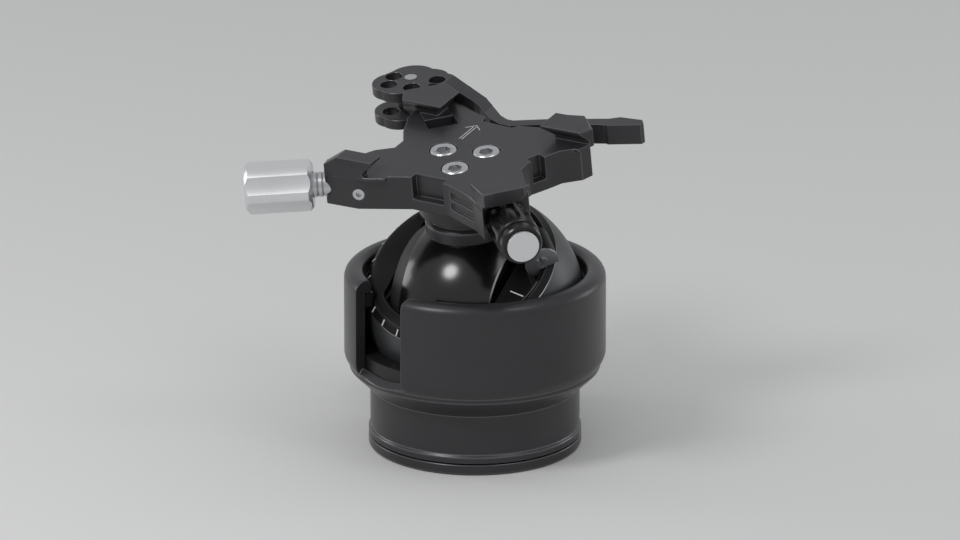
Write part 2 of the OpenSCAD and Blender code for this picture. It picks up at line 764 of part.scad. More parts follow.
// A bevel plane that falls from a place at the jaws' top, outwards
module bevel(at, turn, w, h) {
    translate([at.x, at.y, jaw_h]) rotate([0, 0, turn]) rotate([0, atan2(h, w), 0]) translate([0, -reach_u, 0])
        cube([reach_u, 2 * reach_u, reach_u]);
}
module jaw_bevels(which) {
    for (i = which) {
        b = jaw_bevel_shares[i];
        bevel([b[0].x * reach_u, b[0].y * reach_v], b[1], b[2], b[3]);
    }
}
// Frame along a diagonal of the clamp: +X outwards, at a sideways offset and a drop below the plate's top
module on_diagonal(turn, side, drop) { rotate([0, 0, turn]) translate([0, side, -drop]) children(); }
module fixed_jaw(shares, bevels) {
    difference() {
        prism(shares, -over, jaw_h);
        jaw_bevels(bevels);
    }
}
module clamp_body() {
    color("#262728") in_plate() difference() {
        union() {
            prism(clamp_outline_shares, -plate_t, 0);
            fixed_jaw(jaw_left_front_shares, [0, 1]);
            fixed_jaw(jaw_right_front_shares, [2]);
            fixed_jaw(jaw_right_back_shares, [3, 4]);
        }
        channels();
        plate_screw_holes();
        side_pockets();
        tension_room();
        // Shaft of the silver knob
        translate(width_at) rotate([0, 0, width_turn]) translate([0, 0, -width_drop]) along_x()
            rod(width_shaft_r + run, -width_shaft_in - slip, plate_t);
        // Set screw
        in_side_pin() rod(side_pin_r, -side_pin_l, plate_t);
        // Slideway and room of the movable jaw
        rotate([0, 0, jaw_turn]) {
            translate([key_slot_in, -key_w / 2 - slip, -key_h - slip]) cube([reach_u, key_w + 2 * slip, plate_t]);
            translate([arm_end, -reach_v, -plate_t - over]) cube([reach_u, 2 * reach_v, 2 * plate_t]);
        }
    }
}
module plate_screw_holes() {
    around(plate_screw_count, plate_screw_turn) translate([screw_circle_r, 0, 0]) {
        rod(plate_screw_r, -plate_t - over, 0);
        rod(plate_screw_head_r + plate_screw_gap, -plate_screw_head_h, over);
    }
}
// Pockets and grooves in the sides, as the milled plate has them
module side_pockets() {
    h = plate_t - pocket_floor;
    translate([pocket_front_at.x - pocket_front_w / 2, pocket_front_at.y - plate_t, -h])
        cube([pocket_front_w, plate_t + pocket_depth, h + over]);
    translate([pocket_right_at.x, pocket_right_at.y, -h]) rotate([0, 0, pocket_right_turn])
        translate([-pocket_right_w / 2, -plate_t, 0]) cube([pocket_right_w, plate_t + pocket_depth, h + over]);
    for (drop = rib_groove_drops) translate([rib_groove_at.x, rib_groove_at.y, -drop])
        rotate([0, 0, rib_groove_turn]) translate([-rib_groove_l / 2, -plate_t, -rib_groove_h / 2])
            cube([rib_groove_l, plate_t + rib_groove_depth, rib_groove_h]);
}
// Mouth in the right front arm for the black knob, and the hole of its screw
module tension_room() {
    on_diagonal(tension_turn, 0, 0) {
        translate([0, tension_side, -tension_drop]) along_x()
            rod(tension_screw_r + run, tension_screw_in - slip, tension_mouth + over);
        translate([tension_mouth, tension_mouth_side, -2 * plate_t])
            cube([reach_u, reach_v, 2 * plate_t + tension_roof]);
    }
}
module plate_screws() {
    low = -plate_t - plate_screw_bite;
    color("#c9cacc") in_plate() around(plate_screw_count, plate_screw_turn) translate([screw_circle_r, 0, 0])
        difference() {
            union() {
                rod(plate_screw_r, low, -plate_screw_head_h);
                rod(plate_screw_head_r, -plate_screw_head_h, 0);
            }
            translate([0, 0, -hex_d]) cylinder(r = hex_r, h = hex_d + over, $fn = 6);
        }
}
module in_side_pin() {
    translate([side_pin_at.x, side_pin_at.y, -side_pin_drop]) rotate([0, 0, side_pin_turn]) along_x() children();
}
module side_pin() {
    color("#c9cacc") in_plate() in_side_pin() difference() {
        rod(side_pin_r, -side_pin_l, side_pin_stand);
        translate([0, 0, side_pin_stand - side_pin_r / 2]) cylinder(r = side_pin_r / 2, h = side_pin_r, $fn = 6);
    }
}

// Movable jaw: block with the same undercut, a key in the slideway and a lug for the lever's pin
module sliding_jaw() {
    low = ear_top - ear_t - ear_gap + ear_slip;
    top = ear_top - ear_t - ear_slip;
    block_w = lug_w * strap_share;
    color("#262728") in_plate() difference() {
        union() {
            prism(jaw_moving_shares, jaw_gap, jaw_h);
            rotate([0, 0, jaw_turn]) {
                translate([key_in, -key_w / 2, -key_h]) cube([key_out - key_in, key_w, key_h + jaw_gap + over]);
                translate([arm_end + jaw_gap, -block_w / 2, low]) cube([lug_w / 2, block_w, top - low]);
            }
            translate([0, 0, low]) linear_extrude(height = top - low)
                strap([lug_foot, hub_at], [lug_w / 2, lug_w / 2]);
        }
        channels();
        translate(hub_at) rod(pin_r, -plate_t - over, jaw_h + over);
        // Room for the upper ear's turn, under the jaw's top
        translate(hub_at) rod(ear_sweep_r, ear_top - ear_t - slip, ear_top + slip);
    }
}
module lever_pin() {
    color("#c9cacc") in_plate() translate(hub_at) rod(pin_r, ear_top - 2 * ear_t - ear_gap, ear_top + edge_stand);
}

// A band along a path: straight pieces and a disc at each point
module strap(path, half_ws) {
    for (i = [0:len(path) - 1]) translate(path[i]) circle(r = half_ws[i], $fn = 48);
    for (i = [0:len(path) - 2]) {
        way = path[i + 1] - path[i];
        side = [-way.y, way.x] / norm(way) * strap_share;
        polygon([path[i] - side * half_ws[i], path[i + 1] - side * half_ws[i + 1],
                 path[i + 1] + side * half_ws[i + 1], path[i] + side * half_ws[i]]);
    }
}
module ear_outline() { strap(ear_path, ear_half_ws); }
module clamp_lever() {
    upper = ear_top - ear_t;
    lower = upper - ear_gap;
    color("#262728") in_plate() difference() {
        union() {
            for (z = [upper, lower - ear_t]) translate([hub_at.x, hub_at.y, z]) linear_extrude(height = ear_t)
                ear_outline();
            translate([0, 0, arm_top - arm_t]) linear_extrude(height = ear_top - arm_top + arm_t)
                strap(arm_path, arm_half_ws);
            translate([0, 0, arm_top - arm_t]) linear_extrude(height = arm_t) polygon(tab_outline);
        }
        translate(hub_at) rod(pin_r + run, lower - ear_t - over, jaw_h + over);
        for (h = ear_holes) translate(hub_at + h) rod(ear_hole_r, upper - over, jaw_h + over);
        for (h = ear_low_holes) translate(hub_at + h) rod(ear_hole_r, lower - ear_t - over, lower + over);
        // Room for the jaw's lug between the ears
        translate([hub_at.x, hub_at.y, lower]) linear_extrude(height = ear_gap)
            strap([[0, 0], lug_foot - hub_at], [lug_w / 2 + clear, lug_w / 2 + clear]);
        // The ramp from the upper ear down to the arm
        translate([0, whole / 2, 0]) rotate([90, 0, 0]) linear_extrude(height = whole) polygon([
            [ramp_from, ear_top], [ramp_to, arm_top], [whole, arm_top], [whole, plate_t], [ramp_from, plate_t]]);
    }
}

// Silver knob and its screw
module in_width() {
    in_plate() translate([width_at.x, width_at.y, -width_drop]) rotate([0, 0, width_turn]) along_x() children();
}
module width_knob() {
    color("#d9dadc") in_width() translate([0, 0, width_shaft_out]) difference() {
        fluted_knob(width_knob_r, width_knob_l, width_flutes, width_flute_r, width_flute_d, knob_chamfer);
        rod(width_shaft_r, -over, width_knob_l / 2);
    }
}
module width_screw() { color("#c9cacc") in_width() rod(width_shaft_r, -width_shaft_in, width_shaft_out + width_knob_l / 2); }
// Black knob with its cap and screw
module in_tension() { in_plate() on_diagonal(tension_turn, tension_side, tension_drop) along_x() children(); }
module tension_knob() {
    l = tension_out - tension_in;
    color("#1a1a1b") in_tension() difference() {
        translate([0, 0, tension_in]) rotate_extrude() polygon([
            [0, 0], [tension_knob_r, 0], [tension_knob_r, l / 2], [tension_tip_r, l], [0, l]]);
        around(tension_flutes) translate([tension_knob_r + tension_flute_r / 2, 0, tension_in - over])
            cylinder(r = tension_flute_r, h = l * 0.8, $fn = 32);
        rod(tension_screw_r, tension_in - over, tension_in + l / 2);
        rod(tension_cap_r, tension_out - tension_cap_t, tension_out + over);
    }
}
module tension_cap() {
    color("#d9dadc") in_tension() rod(tension_cap_r, tension_out - tension_cap_t, tension_out + tension_cap_t);
}
module tension_screw() {
    color("#8b8d90") in_tension() rod(tension_screw_r, tension_screw_in, (tension_in + tension_out) / 2);
}

foot_disc();
tripod_insert();
pan_spindle();
keeper_ring();
foot_screws();
lower_race();
upper_race();
housing();
ball_seat();
retaining_ring();
lock_shoe();
ball_lock_screw();
ball_lock_knob();
pan_pad();
pan_lock_screw();
pan_lock_knob();
outer_ball();
scale_ring();
yoke();
cap_ring();
cap_screws();
axle_bushes();
lock_sleeve();
lock_washer();
tilt_lock_screw();
inner_ball();
side_disc();
tilt_axle();
balance_springs();
neck();
neck_bolt();
clamp_body();
plate_screws();
side_pin();
sliding_jaw();
lever_pin();
clamp_lever();
width_knob();
width_screw();
tension_knob();
tension_cap();
tension_screw();
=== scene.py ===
"""Looks of a camera ball head: a levelling ball with a tilting ball inside and a lever clamp on top.

Metres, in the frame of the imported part: the origin is the middle of the tripod face, +Z is up
and +Y is the way that the lens points.
"""

import logging
import math
from dataclasses import dataclass, field
from enum import Enum
from typing import Any, Mapping, Optional, Sequence

import bmesh
import bpy
from mathutils import Matrix, Vector


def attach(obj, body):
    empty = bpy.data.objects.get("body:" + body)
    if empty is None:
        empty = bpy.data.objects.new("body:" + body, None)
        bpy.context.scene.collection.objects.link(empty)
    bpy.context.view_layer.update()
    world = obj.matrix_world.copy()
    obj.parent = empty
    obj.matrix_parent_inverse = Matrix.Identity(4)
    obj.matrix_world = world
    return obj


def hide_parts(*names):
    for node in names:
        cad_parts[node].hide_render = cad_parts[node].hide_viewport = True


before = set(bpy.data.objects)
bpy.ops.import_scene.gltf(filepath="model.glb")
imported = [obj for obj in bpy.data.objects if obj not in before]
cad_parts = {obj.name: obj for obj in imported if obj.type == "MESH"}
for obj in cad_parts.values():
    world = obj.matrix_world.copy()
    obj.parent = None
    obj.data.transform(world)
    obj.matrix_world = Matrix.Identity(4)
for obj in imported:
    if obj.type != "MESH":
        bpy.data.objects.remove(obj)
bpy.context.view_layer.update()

log = logging.getLogger("ball_head")

MM = 0.001
BALL_CENTRE = Vector((0.0, 0.0, 45 * MM))
OUTER_LEAN = 33.6
HEAD_LEAN = 9.3
PLATE_HEIGHT = 49 * MM

# Points closer than these are one point, in a CAD mesh and in a mesh made here.
CAD_WELD_MM = 0.002
WELD_MM = 0.0005
# Edges sharper than these stay sharp or are broken: of a machined piece, a grown mesh and a fluted knob.
SHARP_DEG = 30.0
GROWN_SHARP_DEG = 35.0
FLUTE_SHARP_DEG = 25.0

PHOTO_WIDTH_PX = 960
PHOTO_HEIGHT_PX = 540

Point = Sequence[float]
Settings = Mapping[str, Any]


def leaned(degrees: float) -> Matrix:
    """Return the frame that leans back about the balls' centre by so many degrees."""
    return Matrix.Translation(BALL_CENTRE) @ Matrix.Rotation(math.radians(degrees), 4, "X")


def outward_frame(direction_deg: float, height_mm: float) -> Matrix:
    """Return a frame on the pan axis whose +Z runs outwards.

    Args:
        direction_deg: Direction of the outward axis, from +X.
        height_mm: Height of the axis above the tripod face.

    Returns:
        The frame's matrix.
    """
    turn = Matrix.Rotation(math.radians(direction_deg), 4, "Z")
    return turn @ Matrix.Translation((0, 0, height_mm * MM)) @ Matrix.Rotation(math.pi / 2, 4, "Y")


def plate_axis_frame(at_mm: Point, direction_deg: float) -> Matrix:
    """Return a frame in the clamp whose +Z runs along the plate.

    Args:
        at_mm: Place from the middle of the plate's top, in its own directions.
        direction_deg: Direction in the plate, from its +X.

    Returns:
        The frame's matrix.
    """
    turn = Matrix.Rotation(math.radians(direction_deg), 4, "Z")
    return PLATE @ Matrix.Translation(Vector(at_mm) * MM) @ turn @ Matrix.Rotation(math.pi / 2, 4, "Y")


UPRIGHT = Matrix.Identity(4)
OUTER = leaned(OUTER_LEAN)
HEAD = leaned(HEAD_LEAN)
PLATE = HEAD @ Matrix.Translation((0, 0, PLATE_HEIGHT))
TILT_AXIS = HEAD @ Matrix.Rotation(math.pi / 2, 4, "Y")


def linear(hex_colour: str) -> tuple[float, float, float, float]:
    """Turn an sRGB hex colour to the linear values that a shader takes.

    Args:
        hex_colour: Colour as "#rrggbb".

    Returns:
        Red, green, blue and alpha.
    """
    def channel(text: str) -> float:
        value = int(text, 16) / 255
        return value / 12.92 if value <= 0.04045 else ((value + 0.055) / 1.055) ** 2.4

    return (channel(hex_colour[1:3]), channel(hex_colour[3:5]), channel(hex_colour[5:7]), 1.0)


def add_node(
    tree: bpy.types.NodeTree,
    kind: str,
    settings: Optional[Settings] = None,
    inputs: Optional[Mapping[Any, Any]] = None,
) -> bpy.types.Node:
    """Add a node with its settings, values and links.

    Args:
        tree: Node tree that gets the node.
        kind: Type name of the node.
        settings: Properties of the node.
        inputs: Value, or output socket to link, for each input named or numbered.

    Returns:
        The new node.
    """
    node = tree.nodes.new(kind)
    for key, value in (settings or {}).items():
        setattr(node, key, value)
    for key, value in (inputs or {}).items():
        if isinstance(value, bpy.types.NodeSocket):
            tree.links.new(value, node.inputs[key])
        else:
            node.inputs[key].default_value = value
    return node


def blank_material(name: str) -> tuple[bpy.types.Material, bpy.types.NodeTree]:
    """Return a material with an empty node tree, and the tree."""
    material = bpy.data.materials.new(name)
    material.use_nodes = True
    material.node_tree.nodes.clear()
    return material, material.node_tree


def local_place(tree: bpy.types.NodeTree, place: Matrix) -> bpy.types.NodeSocket:
    """Add nodes that give a point's place in a piece's own frame.

    Args:
        tree: Material tree.
        place: Frame of the piece.

    Returns:
        The socket with the place, in metres.
    """
    back = place.inverted()
    coordinates = add_node(tree, "ShaderNodeTexCoord")
    mapping = add_node(tree, "ShaderNodeMapping", {"vector_type": "POINT"}, {
        "Vector": coordinates.outputs["Object"],
        "Location": tuple(back.translation),
        "Rotation": tuple(back.to_euler("XYZ")),
    })
    return mapping.outputs["Vector"]


def tone_ramp(tree: bpy.types.NodeTree, value: bpy.types.NodeSocket, colour: str, shares: Point,
              stops: Point) -> bpy.types.NodeSocket:
    """Add a ramp from a darker to a lighter tone of a colour.

    Args:
        tree: Material tree.
        value: Socket that runs the ramp.
        colour: Colour as "#rrggbb".
        shares: Brightness of the two tones, as shares of the colour.
        stops: Values at which the two tones stand.

    Returns:
        The socket with the colour.
    """
    ramp = add_node(tree, "ShaderNodeValToRGB", None, {"Fac": value})
    for element, share, stop in zip(ramp.color_ramp.elements, shares, stops):
        element.position = stop
        element.color = (*(min(channel * share, 1) for channel in linear(colour)[:3]), 1)
    return ramp.outputs["Color"]


def uneven_gloss(tree: bpy.types.NodeTree, value: bpy.types.NodeSocket, stops: Point, roughness: float,
                 spread: float) -> bpy.types.NodeSocket:
    """Add a roughness that strays a little to both sides of its middle.

    Args:
        tree: Material tree.
        value: Socket that runs it.
        stops: Values at which the lowest and the highest roughness stand.
        roughness: Middle roughness.
        spread: How far it strays.

    Returns:
        The socket with the roughness.
    """
    return add_node(tree, "ShaderNodeMapRange", None, {
        "Value": value, "From Min": stops[0], "From Max": stops[1],
        "To Min": roughness - spread, "To Max": roughness + spread}).outputs["Result"]


def surfaced(tree: bpy.types.NodeTree, inputs: Mapping[str, Any]) -> None:
    """End a material tree in one surface with the given inputs."""
    shader = add_node(tree, "ShaderNodeBsdfPrincipled", None, inputs)
    add_node(tree, "ShaderNodeOutputMaterial", None, {"Surface": shader.outputs[0]})


@dataclass(frozen=True)
class BlastedAnodise:
    """Hard-anodised aluminium over a bead-blasted surface: a dense fine grain with soft broad gloss."""

    name: str
    colour: str
    roughness: float = 0.46
    metallic: float = 0.25
    grit_mm: float = 0.28
    grit_depth_mm: float = 0.006
    tone_spread: float = 0.10
    specular: float = 0.5
    cloud_mm: float = 14.0
    gloss_spread: float = 0.03

    def build(self) -> bpy.types.Material:
        """Return the material.

        The bead marks are about 0.1 mm across and are drawn coarser, so that they show.
        """
        material, tree = blank_material(self.name)
        place = local_place(tree, UPRIGHT)
        grit = add_node(tree, "ShaderNodeTexNoise", None, {
            "Vector": place, "Scale": 1 / (self.grit_mm * MM), "Detail": 2.0, "Roughness": 0.6})
        cloud = add_node(tree, "ShaderNodeTexNoise", None, {
            "Vector": place, "Scale": 1 / (self.cloud_mm * MM), "Detail": 3.0, "Roughness": 0.5})
        tone = add_node(tree, "ShaderNodeMath", {"operation": "MULTIPLY_ADD"}, {
            0: grit.outputs[0], 1: 0.5, 2: cloud.outputs[0]})
        colour = tone_ramp(tree, tone.outputs[0], self.colour, (1 - self.tone_spread, 1 + self.tone_spread),
                           (0.35, 1.15 / 1.5))
        bump = add_node(tree, "ShaderNodeBump", None, {
            "Strength": 1.0, "Distance": self.grit_depth_mm * MM, "Height": grit.outputs[0]})
        surfaced(tree, {
            "Base Color": colour, "Metallic": self.metallic, "Specular IOR Level": self.specular,
            "Roughness": uneven_gloss(tree, cloud.outputs[0], (0.3, 0.7), self.roughness, self.gloss_spread),
            "Normal": bump.outputs["Normal"]})
        return material


@dataclass(frozen=True)
class TurnedMetal:
    """Metal turned on a lathe: fine rings round the turning axis, which draw the gloss out across them."""

    name: str
    colour: str
    place: Matrix = field(default_factory=lambda: UPRIGHT, hash=False, compare=False)
    roughness: float = 0.3
    metallic: float = 1.0
    pitch_mm: float = 0.22
    ring_depth_mm: float = 0.004
    tone_spread: float = 0.08
    coat: float = 0.0
    coat_roughness: float = 0.12
    gloss_spread: float = 0.04

    def build(self) -> bpy.types.Material:
        """Return the material.

        The tool's feed is about 0.1 mm a turn and is drawn coarser, so that it shows.
        """
        material, tree = blank_material(self.name)
        place = local_place(tree, self.place)
        parts = add_node(tree, "ShaderNodeSeparateXYZ", None, {"Vector": place})
        flat = add_node(tree, "ShaderNodeCombineXYZ", None, {
            "X": parts.outputs["X"], "Y": parts.outputs["Y"]})
        radius = add_node(tree, "ShaderNodeVectorMath", {"operation": "LENGTH"}, {0: flat.outputs[0]})
        along = add_node(tree, "ShaderNodeMath", {"operation": "SUBTRACT"}, {
            0: parts.outputs["Z"], 1: radius.outputs["Value"]})
        feed = add_node(tree, "ShaderNodeMath", {"operation": "MULTIPLY"}, {
            0: along.outputs[0], 1: 1 / (self.pitch_mm * MM)})
        rings = add_node(tree, "ShaderNodeTexNoise", {"noise_dimensions": "1D"}, {
            "W": feed.outputs[0], "Scale": 1.0, "Detail": 2.0, "Roughness": 0.7})
        stops = (0.25, 0.75)
        colour = tone_ramp(tree, rings.outputs[0], self.colour,
                           (1 - self.tone_spread, 1 + self.tone_spread), stops)
        bump = add_node(tree, "ShaderNodeBump", None, {
            "Strength": 1.0, "Distance": self.ring_depth_mm * MM, "Height": rings.outputs[0]})
        surfaced(tree, {
            "Base Color": colour, "Metallic": self.metallic, "Normal": bump.outputs["Normal"],
            "Roughness": uneven_gloss(tree, rings.outputs[0], stops, self.roughness, self.gloss_spread),
            "Coat Weight": self.coat, "Coat Roughness": self.coat_roughness})
        return material


@dataclass(frozen=True)
class MouldedPlastic:
    """Moulded and turned engineering plastic: an even, slightly waxy surface with faint flow clouds."""

    name: str
    colour: str
    roughness: float = 0.5
    cloud_mm: float = 5.0
    tone_spread: float = 0.08
    gloss_spread: float = 0.05

    def build(self) -> bpy.types.Material:
        """Return the material."""
        material, tree = blank_material(self.name)
        place = local_place(tree, UPRIGHT)
        cloud = add_node(tree, "ShaderNodeTexNoise", None, {
            "Vector": place, "Scale": 1 / (self.cloud_mm * MM), "Detail": 4.0, "Roughness": 0.55})
        stops = (0.3, 0.7)
        surfaced(tree, {
            "Base Color": tone_ramp(tree, cloud.outputs[0], self.colour,
                                    (1 - self.tone_spread, 1 + self.tone_spread), stops),
            "Roughness": uneven_gloss(tree, cloud.outputs[0], stops, self.roughness, self.gloss_spread)})
        return material


@dataclass(frozen=True)
class LaserMark:
    """White marking burnt into the anodised layer: flat, slightly powdery, with an uneven edge tone."""

    name: str
    colour: str = "#dcdcda"
    powder_mm: float = 0.15
    darkest_share: float = 0.85

    def build(self) -> bpy.types.Material:
        """Return the material."""
        material, tree = blank_material(self.name)
        place = local_place(tree, UPRIGHT)
        powder = add_node(tree, "ShaderNodeTexNoise", None, {
            "Vector": place, "Scale": 1 / (self.powder_mm * MM), "Detail": 2.0})
        surfaced(tree, {
            "Base Color": tone_ramp(tree, powder.outputs[0], self.colour, (self.darkest_share, 1),
                                    (0.3, 0.6)),
            "Roughness": 0.65})
        return material


class Slot(Enum):
    """Material slots of the record."""

    BODY = "body_black"
    BALL_SATIN = "ball_satin"
    BALL_GLOSS = "ball_gloss"
    YOKE = "yoke_black"
    KNOB_SILVER = "knob_silver"
    KNOB_BLACK = "knob_black"
    STEEL = "steel"
    DARK_STEEL = "dark_steel"
    WASHER = "washer_white"


BODY_FINISH = BlastedAnodise("blasted_black_anodised_aluminium", "#323234", roughness=0.33,
                             grit_depth_mm=0.004)
# Lighter grey on the broken edges of the black pieces is a painted highlight, where the edges catch the
# light.
EDGE_HIGHLIGHT_FINISH = BlastedAnodise("black_anodised_edge_painted_highlight", "#58585a", roughness=0.26, metallic=0.5,
                             grit_depth_mm=0.001, tone_spread=0.05)
LOCK_STEEL = BlastedAnodise("ground_bright_steel", "#b4b5b7", roughness=0.3, metallic=0.8,
                            grit_depth_mm=0.0005, tone_spread=0.03)
YOKE_FINISH = BlastedAnodise("fine_matte_black_anodised_aluminium", "#101011", roughness=0.42, metallic=0.0,
                             grit_mm=0.2, grit_depth_mm=0.003, specular=0.2)
# Lighter grey on the yoke's broken edges is a painted highlight, where the edges catch the light.
YOKE_EDGE_HIGHLIGHT_FINISH = BlastedAnodise("fine_black_edge_painted_highlight", "#3c3c3e", roughness=0.3, metallic=0.5,
                                  grit_depth_mm=0.002)
SILVER_FINISH = BlastedAnodise("blasted_clear_anodised_aluminium", "#dcddde", roughness=0.3, metallic=0.8,
                               grit_depth_mm=0.002, tone_spread=0.02)
KNOB_FINISH = BlastedAnodise("satin_black_anodised_knob", "#19191a", roughness=0.26, metallic=0.2,
                             grit_mm=0.2, grit_depth_mm=0.0015)
PLASTIC_FINISH = MouldedPlastic("black_acetal", "#151515")
WASHER_FINISH = MouldedPlastic("white_bearing_plastic", "#d8d4c4", roughness=0.4)
MARK_FINISH = LaserMark("white_laser_mark")
HIDDEN_STEEL = "#8e9093"
BRONZE = "#a98b4e"

# Finish of the faces and of the broken edges of a machined piece; the black pieces' lighter edge finish is a
# painted highlight.
MACHINED_FINISHES = {
    Slot.BODY: (BODY_FINISH, EDGE_HIGHLIGHT_FINISH),
    Slot.YOKE: (YOKE_FINISH, YOKE_EDGE_HIGHLIGHT_FINISH),
    Slot.KNOB_BLACK: (KNOB_FINISH, EDGE_HIGHLIGHT_FINISH),
    Slot.KNOB_SILVER: (SILVER_FINISH, SILVER_FINISH),
}


class Shop:
    """Holds each finish's material, built once and shared by the pieces."""

    def __init__(self) -> None:
        """Start with no materials."""
        self._made: dict[str, bpy.types.Material] = {}

    def material(self, finish: Any) -> bpy.types.Material:
        """Return the material of a finish."""
        if finish.name not in self._made:
            self._made[finish.name] = finish.build()
        return self._made[finish.name]


shop = Shop()


def turned_steel(name: str, place: Matrix, colour: str = "#c4c5c7", roughness: float = 0.28) -> TurnedMetal:
    """Return turned steel for a piece with its own turning axis."""
    return TurnedMetal(name, colour, place=place, roughness=roughness, ring_depth_mm=0.0015, tone_spread=0.05)


def new_object(name: str, mesh: bpy.types.Mesh) -> bpy.types.Object:
    """Link a mesh to the scene as an object at the origin."""
    piece = bpy.data.objects.new(name, mesh)
    bpy.context.scene.collection.objects.link(piece)
    return piece


def skinned(work: bmesh.types.BMesh, rings: Sequence[Sequence[bmesh.types.BMVert]]) -> None:
    """Lay faces between closed rings of points, each with the next."""
    for low, high in zip(rings, rings[1:]):
        for i in range(len(low)):
            j = (i + 1) % len(low)
            work.faces.new((low[i], low[j], high[j], high[i]))


def kept_mesh(work: bmesh.types.BMesh, name: str, place: Matrix = UPRIGHT) -> bpy.types.Mesh:
    """Turn a work mesh's faces outwards, keep it as a mesh in a frame and free it."""
    bmesh.ops.recalc_face_normals(work, faces=work.faces)
    work.transform(place)
    mesh = bpy.data.meshes.new(name)
    work.to_mesh(mesh)
    work.free()
    return mesh


def set_materials(piece: bpy.types.Object, *finishes: Any) -> None:
    """Give a piece its materials, in slot order."""
    piece.data.materials.clear()
    for finish in finishes:
        piece.data.materials.append(shop.material(finish))


def smooth_by_angle(mesh: bpy.types.Mesh, degrees: float) -> None:
    """Shade a mesh smooth, with sharp edges above an angle."""
    mesh.polygons.foreach_set("use_smooth", [True] * len(mesh.polygons))
    mesh.set_sharp_from_angle(angle=math.radians(degrees))


def applied(piece: bpy.types.Object) -> bpy.types.Object:
    """Turn a piece's modifiers into a plain mesh.

    Args:
        piece: Object with live modifiers.

    Returns:
        The same object with the evaluated mesh and no modifiers.
    """
    graph = bpy.context.evaluated_depsgraph_get()
    graph.update()
    mesh = bpy.data.meshes.new_from_object(piece.evaluated_get(graph), preserve_all_data_layers=True,
                                           depsgraph=graph)
    piece.modifiers.clear()
    old = piece.data
    piece.data = mesh
    mesh.name = piece.name
    bpy.data.meshes.remove(old)
    return piece


def broken_edges(piece: bpy.types.Object, width_mm: float, angle_deg: float = SHARP_DEG,
                 full_width: bool = False) -> bpy.types.Object:
    """Break a piece's sharp edges with a small round in its second finish, as machined parts have; that
    finish is mostly a lighter colour that paints the edge's highlight.

    Args:
        piece: Piece with sharp edges.
        width_mm: Width of the round.
        angle_deg: Edges sharper than this are broken.
        full_width: Whether the round keeps its width beside short edges too.

    Returns:
        The same piece, with a plain mesh.
    """
    smooth_by_angle(piece.data, angle_deg)
    bevel = piece.modifiers.new("broken_edges", "BEVEL")
    bevel.width = width_mm * MM
    bevel.segments = 2
    bevel.limit_method = "ANGLE"
    bevel.angle_limit = math.radians(angle_deg)
    bevel.use_clamp_overlap = not full_width
    bevel.loop_slide = False
    # The round takes the second material, mostly a painted highlight along the edge.
    bevel.material = 1
    flat = piece.modifiers.new("flat_faces", "WEIGHTED_NORMAL")
    flat.keep_sharp = True
    return applied(piece)


def merged_copy(node: str, name: str) -> bpy.types.Object:
    """Return a copy of a CAD node's mesh with its loose triangles joined.

    Args:
        node: CAD node.
        name: Name of the new piece.

    Returns:
        The new piece, without materials.
    """
    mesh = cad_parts[node].data.copy()
    work = bmesh.new()
    work.from_mesh(mesh)
    bmesh.ops.remove_doubles(work, verts=work.verts, dist=CAD_WELD_MM * MM)
    bmesh.ops.dissolve_degenerate(work, dist=2 * CAD_WELD_MM * MM, edges=work.edges)
    for face in work.faces:
        face.material_index = 0
    work.to_mesh(mesh)
    work.free()
    mesh.name = name
    return new_object(name, mesh)


def machined(node: str, body: str, slot: Slot, width_mm: float, angle_deg: float = SHARP_DEG,
             full_width: bool = False, finish: Any = None) -> bpy.types.Object:
    """Make a machined piece in place of a CAD node: its mesh with broken edges.

    Args:
        node: CAD node that the piece stands for.
        body: Body that it rides on.
        slot: Record slot of its finish.
        width_mm: Width of the broken edges.
        angle_deg: Edges sharper than this are broken.
        full_width: Whether the round keeps its width beside short edges too.
        finish: Finish of its own, instead of the slot's.

    Returns:
        The new piece.
    """
    piece = merged_copy(node, node + "_machined")
    set_materials(piece, *((finish, finish) if finish else MACHINED_FINISHES[slot]))
    broken_edges(piece, width_mm, angle_deg, full_width)
    return placed(piece, body, slot, node)


def revolved(name: str, profile_mm: Sequence[Point], place: Matrix, segments: int = 192) -> bpy.types.Object:
    """Turn a closed profile round the +Z axis of a frame.

    Args:
        name: Name of the new piece.
        profile_mm: Points (radius, height) round the section, counter-clockwise.
        place: Frame of the axis.
        segments: Steps round the axis.

    Returns:
        The new piece, without materials.
    """
    work = bmesh.new()
    rings = []
    for step in range(segments):
        angle = 2 * math.pi * step / segments
        c, s = math.cos(angle), math.sin(angle)
        rings.append([work.verts.new((r * c * MM, r * s * MM, z * MM)) for r, z in profile_mm])
    count = len(profile_mm)
    for step in range(segments):
        here, after = rings[step], rings[(step + 1) % segments]
        for i in range(count):
            j = (i + 1) % count
            if profile_mm[i][0] == 0 and profile_mm[j][0] == 0:
                continue
            work.faces.new((here[i], after[i], after[j], here[j]))
    bmesh.ops.remove_doubles(work, verts=work.verts, dist=WELD_MM * MM)
    return new_object(name, kept_mesh(work, name, place))


def arc_points(radius: float, start_deg: float, end_deg: float, steps: int) -> list[tuple[float, float]]:
    """Return points along an arc round the origin, both ends included."""
    angles = [math.radians(start_deg + (end_deg - start_deg) * i / steps) for i in range(steps + 1)]
    return [(radius * math.cos(a), radius * math.sin(a)) for a in angles]


